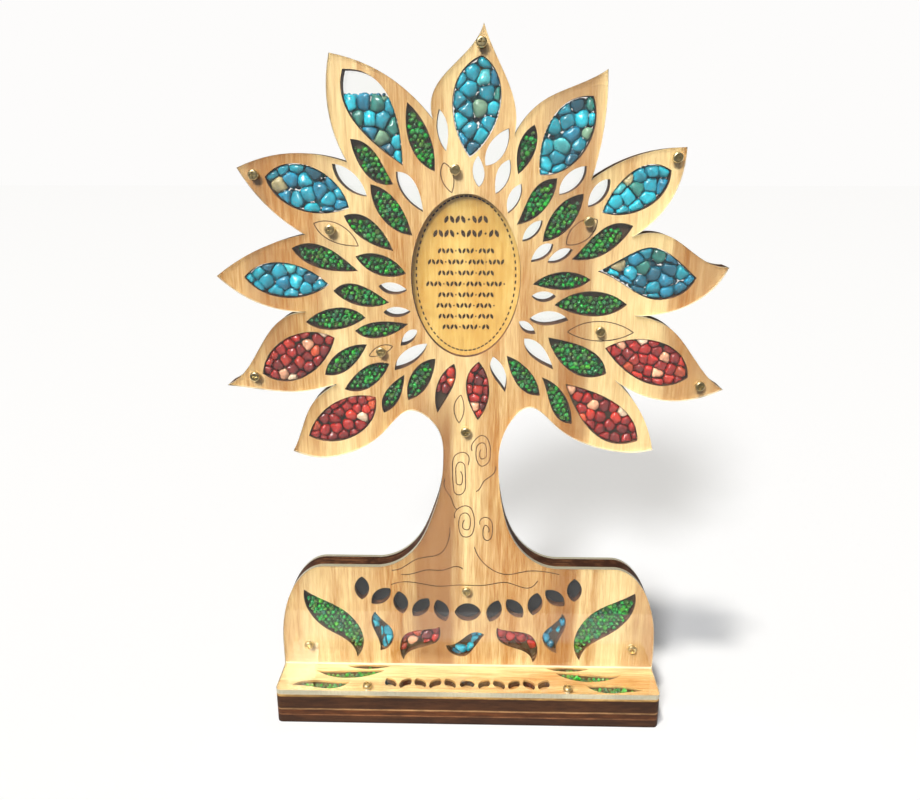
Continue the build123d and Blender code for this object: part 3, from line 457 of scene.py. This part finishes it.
def plaque_material(wood, front_y):
    """The stained plaque, burnt where it is engraved."""
    material, tree, shader, place = new_material("Golden Plaque", 0.42, Specular_IOR_Level=0.3)
    cloud = between(tree, speckle(tree, place, 90.0, 3.0, 0.55, 0.5), 0.3, 0.7)
    light = blended(tree, cloud, wood.plaque, srgb(216, 184, 110))
    grain = veneer(tree, place, wood, 2, light, wood.plaque_dark, 0.12)
    depth = maths(tree, "SUBTRACT", part_of(tree, place, 1), front_y)
    stroke = maths(tree, "MULTIPLY", maths(tree, "GREATER_THAN", depth, SURFACE),
                   maths(tree, "LESS_THAN", depth, DEEPEST_STROKE))
    char = burnt(tree, place, wood, srgb(70, 40, 22))
    ink = blended(tree, 0.6, char["Color"], srgb(34, 18, 10))
    tree.links.new(blended(tree, stroke, grain["Color"], ink), shader.inputs["Base Color"])
    tree.links.new(maths(tree, "MULTIPLY_ADD", stroke, 0.3, 0.4), shader.inputs["Roughness"])
    bumped(tree, shader, grain["Height"], 0.04 * MM)
    return material


def card_material():
    """Matt black card with a faint paper tooth."""
    material, tree, shader, place = new_material("Black Card", 0.75)
    tooth = speckle(tree, place, 2400.0, 3.0, 0.6)
    shade = blended(tree, between(tree, tooth, 0.3, 0.7), srgb(12, 12, 14), srgb(30, 29, 31))
    tree.links.new(shade, shader.inputs["Base Color"])
    tree.links.new(maths(tree, "MULTIPLY_ADD", tooth, 0.2, 0.6), shader.inputs["Roughness"])
    bumped(tree, shader, tooth, 0.02 * MM)
    return material


def brass_material(metal):
    """Pale brass, dull in its recesses, with turning marks and stains."""
    material, tree, shader, place = new_material("Brass", 0.25, Metallic=1.0)
    stain = between(tree, speckle(tree, place, 520.0, 4.0, 0.6), 0.42, 0.7)
    shade = blended(tree, maths(tree, "MULTIPLY", stain, 0.6), metal.brass, metal.tarnish)
    marks = speckle(tree, scaled(tree, place, (1.0, 0.2, 1.0)), 4200.0, 2.0)
    tree.links.new(shade, shader.inputs["Base Color"])
    tree.links.new(maths(tree, "MULTIPLY_ADD", stain, 0.2, 0.3), shader.inputs["Roughness"])
    bumped(tree, shader, marks, 0.012 * MM)
    return material


def let_lamps_through(tree, shader, tint):
    """Light from a lamp passes through the surface, as through a pane."""
    lamp_ray = node(tree, "ShaderNodeLightPath").outputs["Is Shadow Ray"]
    pane = node(tree, "ShaderNodeBsdfTransparent", {"Color": tint})
    mixed = node(tree, "ShaderNodeMixShader",
                 {0: lamp_ray, 1: shader.outputs["BSDF"], 2: pane.outputs["BSDF"]})
    output = next(n for n in tree.nodes if n.bl_idname == "ShaderNodeOutputMaterial")
    tree.links.new(mixed.outputs["Shader"], output.inputs["Surface"])


def sheet_material(glass):
    """Clear polished sheet. Lamps shine through it as through a pane."""
    material, tree, shader, place = new_material(
        "Clear Acrylic", 0.02, IOR=1.49, Transmission_Weight=1.0)
    smudge = speckle(tree, place, 70.0, 4.0, 0.6)
    tint = blended(tree, between(tree, smudge, 0.35, 0.7), glass.sheet, srgb(252, 254, 251))
    tree.links.new(tint, shader.inputs["Base Color"])
    tree.links.new(between(tree, smudge, 0.5, 2.2), shader.inputs["Roughness"])
    let_lamps_through(tree, shader, (0.94, 0.95, 0.93, 1.0))
    return material


def edge_material(glass):
    """The sawn edge of a clear sheet: frosted, pale and a little green."""
    material, tree, shader, place = new_material(
        "Frosted Edge", 0.35, IOR=1.49, Transmission_Weight=0.35)
    saw = speckle(tree, scaled(tree, place, (1.0, 1.0, 0.3)), 1500.0, 3.0)
    tree.links.new(blended(tree, saw, glass.edge, srgb(244, 238, 212)), shader.inputs["Base Color"])
    tree.links.new(maths(tree, "MULTIPLY_ADD", saw, 0.3, 0.2), shader.inputs["Roughness"])
    bumped(tree, shader, saw, 0.03 * MM)
    let_lamps_through(tree, shader, (0.8, 0.8, 0.76, 1.0))
    return material


def stone_material(name, vein, vein_amount, scale):
    """Tumbled stone in each stone's own tint."""
    material, tree, shader, place = new_material(name, 0.2, IOR=1.6)
    tint = node(tree, "ShaderNodeAttribute", attribute_name="tint").outputs["Color"]
    inputs = {"Vector": place, "Tint": tint, "Vein": vein, "Vein Amount": vein_amount, "Scale": scale}
    surface = placed(tree, cached("Stone Mottle", build_mottle), inputs)
    tree.links.new(surface["Color"], shader.inputs["Base Color"])
    tree.links.new(maths(tree, "ADD", surface["Roughness"], 0.06), shader.inputs["Roughness"])
    bumped(tree, shader, surface["Height"], 0.03 * MM)
    return material


def granule_material(glass):
    """Green glass with slight clouds and a fire-polished skin."""
    material, tree, shader, place = new_material(
        "Green Granules", 0.06, IOR=1.52, Transmission_Weight=0.25)
    tint = node(tree, "ShaderNodeAttribute", attribute_name="tint").outputs["Color"]
    surface = placed(tree, cached("Stone Mottle", build_mottle),
                     {"Vector": place, "Tint": tint, "Vein": glass.deep, "Vein Amount": 0.3, "Scale": 700.0})
    tree.links.new(surface["Color"], shader.inputs["Base Color"])
    tree.links.new(maths(tree, "MULTIPLY", surface["Roughness"], 0.35), shader.inputs["Roughness"])
    bumped(tree, shader, surface["Height"], 0.02 * MM)
    return material


# Building meshes

def dress(name, material):
    """Give a CAD node its finish."""
    mesh = nodes[name].data
    mesh.materials.clear()
    mesh.materials.append(material)


def loose_solids(name):
    """The points of each separate solid of a CAD node."""
    shape = bmesh.new()
    shape.from_mesh(nodes[name].data)
    bmesh.ops.remove_doubles(shape, verts=shape.verts, dist=SAME_POINT)
    waiting = set(shape.verts)
    solids = []
    for first in list(shape.verts):
        if first in waiting:
            waiting.discard(first)
            queue = [first]
            for point in queue:
                for edge in point.link_edges:
                    other = edge.other_vert(point)
                    if other in waiting:
                        waiting.discard(other)
                        queue.append(other)
            solids.append([point.co.copy() for point in queue])
    shape.free()
    return solids


def hull(points):
    """The convex outline of flat points, counter-clockwise."""
    ordered = sorted(set((round(x, 7), round(z, 7)) for x, z in points))
    outline = []
    for run in (ordered, ordered[::-1]):
        rim = []
        for p in run:
            while len(rim) > 1 and cross(rim[-2], rim[-1], p) <= 0:
                rim.pop()
            rim.append(p)
        outline += rim[:-1]
    return outline


def cross(a, b, c):
    """Twice the area of a triangle, positive if it turns left."""
    return (b[0] - a[0]) * (c[1] - a[1]) - (b[1] - a[1]) * (c[0] - a[0])


def rim_reach(rim, centre, sharpness):
    """A function of an angle: how far a rounded polygon reaches from its centre."""
    sides = []
    for a, b in zip(rim, rim[1:] + rim[:1]):
        run = (b[0] - a[0], b[1] - a[1])
        size = math.hypot(*run)
        out = (run[1] / size, -run[0] / size)
        away = (a[0] - centre[0]) * out[0] + (a[1] - centre[1]) * out[1]
        if away > 0:
            sides.append((out[0] / away, out[1] / away))

    def reach(angle):
        total = sum(max(0.0, x * math.cos(angle) + z * math.sin(angle)) ** sharpness for x, z in sides)
        return total ** (-1 / sharpness)

    return reach


def unit_ball(subdivisions):
    """The points and faces of a fine unit ball, used as clay for stones and granules."""
    ball = bmesh.new()
    bmesh.ops.create_icosphere(ball, subdivisions=subdivisions, radius=1.0)
    points = [v.co.copy() for v in ball.verts]
    faces = [tuple(v.index for v in f.verts) for f in ball.faces]
    ball.free()
    return points, faces


def stone_points(ball, rim, centre, depth, stone, rng):
    """One tumbled stone that fills a polygon's place, at centre, with its own depth and lean."""
    reach = rim_reach(rim, (centre.x, centre.z), STONE_SHARPNESS)
    lean = Euler((rng.uniform(-stone.lean, stone.lean), 0.0, rng.uniform(-stone.lean, stone.lean)))
    offset = Vector((rng.uniform(0, 90), rng.uniform(0, 90), rng.uniform(0, 90)))
    made = []
    for point in ball:
        angle = math.atan2(point.z, point.x)
        width = math.hypot(point.x, point.z) ** 0.8
        size = reach(angle) * (1 - stone.slack)
        thick = math.copysign(abs(point.y) ** 0.8, point.y) * depth / 2
        rough = noise.noise(point * 1.3 + offset) * stone.tumble
        shaped = Vector((math.cos(angle) * width * size, thick, math.sin(angle) * width * size)) * (1 + rough)
        shaped.rotate(lean)
        made.append(centre + shaped)
    return made


def lumps_object(name, lumps, faces, material):
    """One object of many small closed lumps: each is its points and its tint."""
    points = []
    polygons = []
    tints = []
    for lump, tint in lumps:
        start = len(points)
        points += lump
        polygons += [tuple(start + i for i in face) for face in faces]
        tints += [tint] * len(lump)
    mesh = bpy.data.meshes.new(name)
    mesh.from_pydata(points, [], polygons)
    layer = mesh.color_attributes.new("tint", "FLOAT_COLOR", "POINT")
    for item, tint in zip(layer.data, tints):
        item.color = tint
    mesh.polygons.foreach_set("use_smooth", [True] * len(mesh.polygons))
    mesh.materials.append(material)
    made = bpy.data.objects.new(name, mesh)
    bpy.context.scene.collection.objects.link(made)
    return made


def varied(tint, rng, amount):
    """A tint a little lighter or darker."""
    change = 1 + rng.uniform(-amount, amount)
    return tuple(min(1.0, c * change) for c in tint[:3]) + (1.0,)


def pick(palette, rng):
    """A tint from (weight, tint) pairs."""
    mark = rng.uniform(0, sum(weight for weight, _ in palette))
    for weight, tint in palette:
        mark -= weight
        if mark <= 0:
            break
    return varied(tint, rng, 0.22)


def fill_with_stones(name, palette, layers, stone, material):
    """Stones in the places of a CAD node's chips, with a second scattered layer where the window is deep."""
    rng = random.Random(f"{stone.seed} {name}")
    ball, faces = unit_ball(STONE_FINENESS)
    low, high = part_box(name)
    room = (high.y - low.y) / layers
    lumps = []
    middles = []
    for solid in loose_solids(name):
        rim = hull([(p.x, p.z) for p in solid])
        middle = sum(solid, Vector()) / len(solid)
        middles.append((middle.x, middle.z))
        depth = room * rng.uniform(*STONE_DEPTHS)
        slide = rng.uniform(0.05, 0.95) * (room - depth)
        place = Vector((middle.x, low.y + slide + depth / 2, middle.z))
        lumps.append((stone_points(ball, rim, place, depth * 0.96, stone, rng), pick(palette, rng)))
    if layers > 1:
        for x, z, reach in scattered(low, high, middles, stone, rng):
            rim = []
            for k in range(6):
                flat = reach * rng.uniform(0.8, 1.0)
                rim.append((x + reach * math.cos(k), z + flat * math.sin(k)))
            depth = room * rng.uniform(*BACK_DEPTHS)
            place = Vector((x, high.y - depth / 2, z))
            lumps.append((stone_points(ball, rim, place, depth * 0.96, stone, rng), pick(palette, rng)))
    made = lumps_object(name + "_stones", lumps, faces, material)
    keep_inside(made, low, high)
    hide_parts(name)
    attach(made, BODY)


def surface_of(mesh):
    """A mesh as a surface that can be searched."""
    return BVHTree.FromPolygons([v.co for v in mesh.vertices], [tuple(p.vertices) for p in mesh.polygons])


def scattered(low, high, middles, stone, rng):
    """Places and sizes for the stones at the back of a deep window: near those in front, and off the wood."""
    walls = surface_of(nodes["upright_rear_board"].data)
    front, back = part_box("upright_rear_board")
    depth = (front.y + back.y) / 2
    places = []
    for _ in range(stone.tries):
        x = rng.uniform(low.x, high.x)
        z = rng.uniform(low.z, high.z)
        spot = Vector((x, depth, z))
        hit, normal, _, wall = walls.find_nearest(spot)
        open_air = (spot - hit).dot(normal) > 0
        reach = min(wall - 0.05 * MM, stone.back_size / 2 * rng.uniform(*BACK_SIZES), high.z - z)
        chip = min(middles, key=lambda middle: math.dist((x, z), middle))
        path = Vector((chip[0] - x, 0.0, chip[1] - z))
        beside = path.length < BACK_RANGE * stone.back_size
        near = beside and walls.ray_cast(spot, path, path.length)[0] is None
        if near and open_air and reach > SMALLEST_BACK * stone.back_size:
            if all(math.dist((x, z), other[:2]) > BACK_CROWDING * (reach + other[2]) for other in places):
                places.append((x, z, reach))
    return places


def keep_inside(made, low, high):
    """Flatten what would pass a fill's own front or back."""
    for vertex in made.data.vertices:
        vertex.co.y = min(max(vertex.co.y, low.y), high.y)


def granule_points(ball, centre, size, rng):
    """One rounded, slightly uneven granule."""
    offset = Vector((rng.uniform(0, 90), rng.uniform(0, 90), rng.uniform(0, 90)))
    turn = Euler([rng.uniform(0, math.tau) for _ in range(3)])
    form = Vector((rng.uniform(0.85, 1.15), rng.uniform(0.7, 1.0), rng.uniform(0.8, 1.1)))
    made = []
    for point in ball:
        bulge = 1 + 0.22 * noise.noise(point * 1.1 + offset)
        shaped = Vector([p * f * bulge * size / 2 for p, f in zip(point, form)])
        shaped.rotate(turn)
        made.append(centre + shaped)
    return made


def fill_with_granules(name, deep, glass, material):
    """Granules heaped in a window's bed. The bed faces along axis deep, 1 or 2."""
    rng = random.Random(f"{glass.seed} {name}")
    ball, faces = unit_ball(GRANULE_FINENESS)
    low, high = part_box(name)
    across, along = [axis for axis in (0, 1, 2) if axis != deep]
    bed = surface_of(nodes[name].data)
    towards = Vector([float(axis == deep) for axis in (0, 1, 2)])
    pitch = glass.granule * GRANULE_PITCH
    level = high[along] if deep == 2 else low[along] + glass.fill * (high[along] - low[along])

    def roomy(point, margin):
        for k in range(6):
            probe = point.copy()
            probe[across] += margin * math.cos(k * math.pi / 3)
            probe[along] += margin * math.sin(k * math.pi / 3)
            probe[deep] = low[deep] - 1.0
            if bed.ray_cast(probe, towards)[0] is None:
                return False
        return True

    lumps = []
    rows = int((high[along] - low[along]) / (pitch * GRANULE_ROW)) + 2
    columns = int((high[across] - low[across]) / pitch) + 2
    for layer in range(2):
        for row in range(rows):
            for column in range(columns):
                size = glass.granule * rng.uniform(*GRANULE_SIZES)
                place = column + 0.5 * (row % 2) + 0.33 * layer + rng.uniform(-0.2, 0.2)
                height = GRANULE_ROW * row + 0.4 * layer + rng.uniform(-0.2, 0.2)
                centre = Vector((0.0, 0.0, 0.0))
                centre[across] = low[across] + pitch * place
                centre[along] = low[along] + pitch * height
                sunk = size * 0.52 + layer * glass.granule * 0.75 + rng.uniform(0, 0.1) * glass.granule
                centre[deep] = low[deep] + sunk if deep == 1 else high[deep] - sunk
                tint = tuple(a + (b - a) * rng.random() ** 1.5 for a, b in zip(glass.deep, glass.pale))
                brim = level + rng.uniform(-0.3, 0.3) * pitch
                if centre[along] + size / 2 < brim and roomy(centre, size * GRANULE_ROOM):
                    lumps.append((granule_points(ball, centre, size, rng), tint))
    made = lumps_object(name + "_granules", lumps, faces, material)
    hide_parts(name)
    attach(made, BODY)


def lay_sheet(name, axis, glass, materials):
    """A clear sheet cut like its CAD node, a hair thinner so that air lies under it."""
    sheet = bmesh.new()
    sheet.from_mesh(nodes[name].data)
    bmesh.ops.remove_doubles(sheet, verts=sheet.verts, dist=SAME_POINT)
    low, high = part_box(name)
    for vertex in sheet.verts:
        near_low = vertex.co[axis] < (low[axis] + high[axis]) / 2
        vertex.co[axis] += glass.air if near_low else -glass.air
    for face in sheet.faces:
        face.material_index = int(abs(face.normal[axis]) < 0.5)
    mesh = bpy.data.meshes.new(name + "_sheet")
    sheet.to_mesh(mesh)
    sheet.free()
    for material in materials:
        mesh.materials.append(material)
    made = bpy.data.objects.new(name + "_sheet", mesh)
    bpy.context.scene.collection.objects.link(made)
    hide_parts(name)
    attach(made, BODY)


# Operators

class TREESTAND_OT_boards(bpy.types.Operator):
    """Finish the boards of the upright, the plaque and the black strip"""

    bl_idname = "treestand.boards"
    bl_label = "Finish Upright"

    def execute(self, context):
        wood = context.scene.treestand_wood
        front_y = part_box("upright_face_board")[0].y
        plaque_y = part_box("message_plaque")[0].y
        dress("upright_face_board", board_material("Face Birch", wood, front_y, False))
        # The rear board's front face gets painted shade.
        dress("upright_rear_board", board_material("Rear Birch Painted Shade", wood, front_y, True))
        dress("message_plaque", plaque_material(wood, plaque_y))
        dress("ornament_backing", card_material())
        return {"FINISHED"}


class TREESTAND_OT_base(bpy.types.Operator):
    """Finish the four boards of the base"""

    bl_idname = "treestand.base"
    bl_label = "Finish Base"

    def execute(self, context):
        material = base_material(context.scene.treestand_wood)
        for name in ("base_window_board", "base_floor_board", "base_core_board", "base_bottom_board"):
            dress(name, material)
        return {"FINISHED"}


class TREESTAND_OT_sheets(bpy.types.Operator):
    """Lay the three clear sheets"""

    bl_idname = "treestand.sheets"
    bl_label = "Lay Clear Sheets"

    def execute(self, context):
        glass = context.scene.treestand_glass
        materials = [sheet_material(glass), edge_material(glass)]
        lay_sheet("upright_front_cover", 1, glass, materials)
        lay_sheet("upright_back_cover", 1, glass, materials)
        lay_sheet("base_cover", 2, glass, materials)
        return {"FINISHED"}


class TREESTAND_OT_fasteners(bpy.types.Operator):
    """Finish the screws and nuts"""

    bl_idname = "treestand.fasteners"
    bl_label = "Finish Screws"

    def execute(self, context):
        material = brass_material(context.scene.treestand_metal)
        for name in ("upright_screws", "upright_nuts", "base_screws", "base_nuts"):
            dress(name, material)
        return {"FINISHED"}


class TREESTAND_OT_turquoise(bpy.types.Operator):
    """Fill the blue windows with tumbled stones, two layers deep"""

    bl_idname = "treestand.turquoise"
    bl_label = "Fill Turquoise Windows"

    def execute(self, context):
        stone = context.scene.treestand_stone
        palette = [
            (10, tuple(stone.turquoise)), (6, srgb(6, 166, 186)), (6, srgb(0, 122, 154)),
            (5, srgb(0, 92, 116)), (1.5, srgb(70, 182, 188)), (1.5, srgb(34, 122, 112)),
            (0.5, srgb(122, 160, 130)), (0.4, srgb(176, 160, 116)),
        ]
        material = stone_material("Turquoise Stone", stone.matrix, 0.55, 330.0)
        for name in sorted(n for n in nodes if n.startswith("turquoise")):
            layers = 1 if "panel" in name else 2
            fill_with_stones(name, palette, layers, stone, material)
        return {"FINISHED"}


class TREESTAND_OT_coral(bpy.types.Operator):
    """Fill the red windows with coral chips"""

    bl_idname = "treestand.coral"
    bl_label = "Fill Coral Windows"

    def execute(self, context):
        stone = context.scene.treestand_stone
        palette = [
            (10, tuple(stone.coral)), (8, srgb(130, 14, 6)), (5, srgb(184, 38, 14)), (2.5, srgb(192, 72, 34)),
            (4, srgb(108, 14, 8)), (1.2, srgb(226, 160, 124)), (0.6, srgb(232, 200, 168)),
        ]
        material = stone_material("Coral Stone", srgb(96, 18, 10), 0.5, 420.0)
        for name in sorted(n for n in nodes if n.startswith("coral")):
            fill_with_stones(name, palette, 1, stone, material)
        return {"FINISHED"}


class TREESTAND_OT_granules(bpy.types.Operator):
    """Fill the green windows with glass granules"""

    bl_idname = "treestand.granules"
    bl_label = "Fill Green Windows"

    def execute(self, context):
        glass = context.scene.treestand_glass
        material = granule_material(glass)
        for name in sorted(n for n in nodes if n.startswith("green")):
            fill_with_granules(name, 2 if "ledge" in name else 1, glass, material)
        return {"FINISHED"}


class TREESTAND_OT_stage(bpy.types.Operator):
    """Set the pale sweep, the lights and the camera"""

    bl_idname = "treestand.stage"
    bl_label = "Set Stage"

    def execute(self, context):
        stage = context.scene.treestand_stage
        make_floor(stage)
        make_light("Lamp", stage.lamp, stage.lamp_from, math.radians(6), srgb(255, 252, 246))
        make_light("Window", stage.window, stage.window_from, math.radians(12), srgb(252, 253, 255))
        make_sky(context.scene, stage)
        make_camera(context.scene, stage)
        context.scene.view_settings.view_transform = "Standard"
        return {"FINISHED"}


def make_floor(stage):
    """A pale floor that fades into the white round it."""
    mesh = bpy.data.meshes.new("Floor")
    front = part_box("base_cover")[0].y - stage.apron
    points = [(-stage.reach, front, 0.0), (stage.reach, front, 0.0),
              (stage.reach, stage.reach, 0.0), (-stage.reach, stage.reach, 0.0)]
    mesh.from_pydata(points, [], [(0, 1, 2, 3)])
    material, tree, shader, place = new_material("Pale Floor", 0.9, Emission_Strength=stage.glow)
    tooth = speckle(tree, place, 900.0, 3.0)
    dim = tuple(0.97 * c for c in stage.floor[:3]) + (1.0,)
    shade = blended(tree, tooth, stage.floor, dim)
    tree.links.new(shade, shader.inputs["Base Color"])
    tree.links.new(shade, shader.inputs["Emission Color"])
    bumped(tree, shader, tooth, 0.02 * MM)
    mesh.materials.append(material)
    floor = bpy.data.objects.new("Floor", mesh)
    bpy.context.scene.collection.objects.link(floor)


def make_light(name, strength, source, spread, tint):
    """Light from one direction, with shadows as soft as its spread."""
    light = bpy.data.lights.new(name, "SUN")
    light.energy = strength
    light.angle = spread
    light.color = tint[:3]
    made = bpy.data.objects.new(name, light)
    made.rotation_euler = (-Vector(source)).to_track_quat("-Z", "Y").to_euler()
    bpy.context.scene.collection.objects.link(made)


def make_sky(scene, stage):
    """Dim even light from all round, seen as plain white behind the stand."""
    world = bpy.data.worlds.new("Sky")
    world.use_nodes = True
    tree = world.node_tree
    tree.nodes.clear()
    ray = node(tree, "ShaderNodeLightPath").outputs
    unscattered = maths(tree, "LESS_THAN", ray["Diffuse Depth"], 0.5)
    through = maths(tree, "MULTIPLY", ray["Is Transmission Ray"], unscattered)
    seen = maths(tree, "MAXIMUM", ray["Is Camera Ray"], through)
    dim = node(tree, "ShaderNodeBackground", {"Color": srgb(252, 252, 255), "Strength": stage.sky})
    white = node(tree, "ShaderNodeBackground", {"Color": stage.backdrop, "Strength": 1.0})
    mixed = node(tree, "ShaderNodeMixShader", {0: seen, 1: dim.outputs[0], 2: white.outputs[0]})
    node(tree, "ShaderNodeOutputWorld", {"Surface": mixed.outputs[0]})
    scene.world = world


def make_camera(scene, stage):
    """The camera in front of the stand, a little above its middle and looking down."""
    lens = bpy.data.cameras.new("Camera")
    lens.lens = stage.lens
    lens.sensor_width = 36.0
    lens.clip_start = 0.01
    made = bpy.data.objects.new("Camera", lens)
    made.location = stage.camera
    made.rotation_euler = (math.pi / 2 - stage.pitch, 0.0, stage.turn)
    scene.collection.objects.link(made)
    scene.camera = made


OPERATORS = [
    TREESTAND_OT_boards, TREESTAND_OT_base, TREESTAND_OT_sheets, TREESTAND_OT_fasteners,
    TREESTAND_OT_turquoise, TREESTAND_OT_coral, TREESTAND_OT_granules, TREESTAND_OT_stage,
]
SETTINGS = {
    "treestand_wood": WoodSettings, "treestand_stone": StoneSettings, "treestand_glass": GlassSettings,
    "treestand_metal": MetalSettings, "treestand_stage": StageSettings,
}


class TREESTAND_PT_panel(bpy.types.Panel):
    """Lists the steps that finish the stand"""

    bl_idname = "TREESTAND_PT_panel"
    bl_label = "Tree Stand"
    bl_space_type = "VIEW_3D"
    bl_region_type = "UI"
    bl_category = "Tree Stand"

    def draw(self, context):
        for operator in OPERATORS:
            self.layout.operator(operator.bl_idname)


def register():
    """Add the settings, operators and panel."""
    for name, group in SETTINGS.items():
        bpy.utils.register_class(group)
        setattr(bpy.types.Scene, name, PointerProperty(type=group))
    for operator in OPERATORS:
        bpy.utils.register_class(operator)
    bpy.utils.register_class(TREESTAND_PT_panel)


def unregister():
    """Remove what register added."""
    bpy.utils.unregister_class(TREESTAND_PT_panel)
    for operator in reversed(OPERATORS):
        bpy.utils.unregister_class(operator)
    for name, group in SETTINGS.items():
        delattr(bpy.types.Scene, name)
        bpy.utils.unregister_class(group)


def main():
    """Finish every piece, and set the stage."""
    register()
    bpy.ops.treestand.boards()
    bpy.ops.treestand.base()
    bpy.ops.treestand.sheets()
    bpy.ops.treestand.fasteners()
    bpy.ops.treestand.turquoise()
    bpy.ops.treestand.coral()
    bpy.ops.treestand.granules()
    bpy.ops.treestand.stage()


if __name__ == "__main__":
    main()
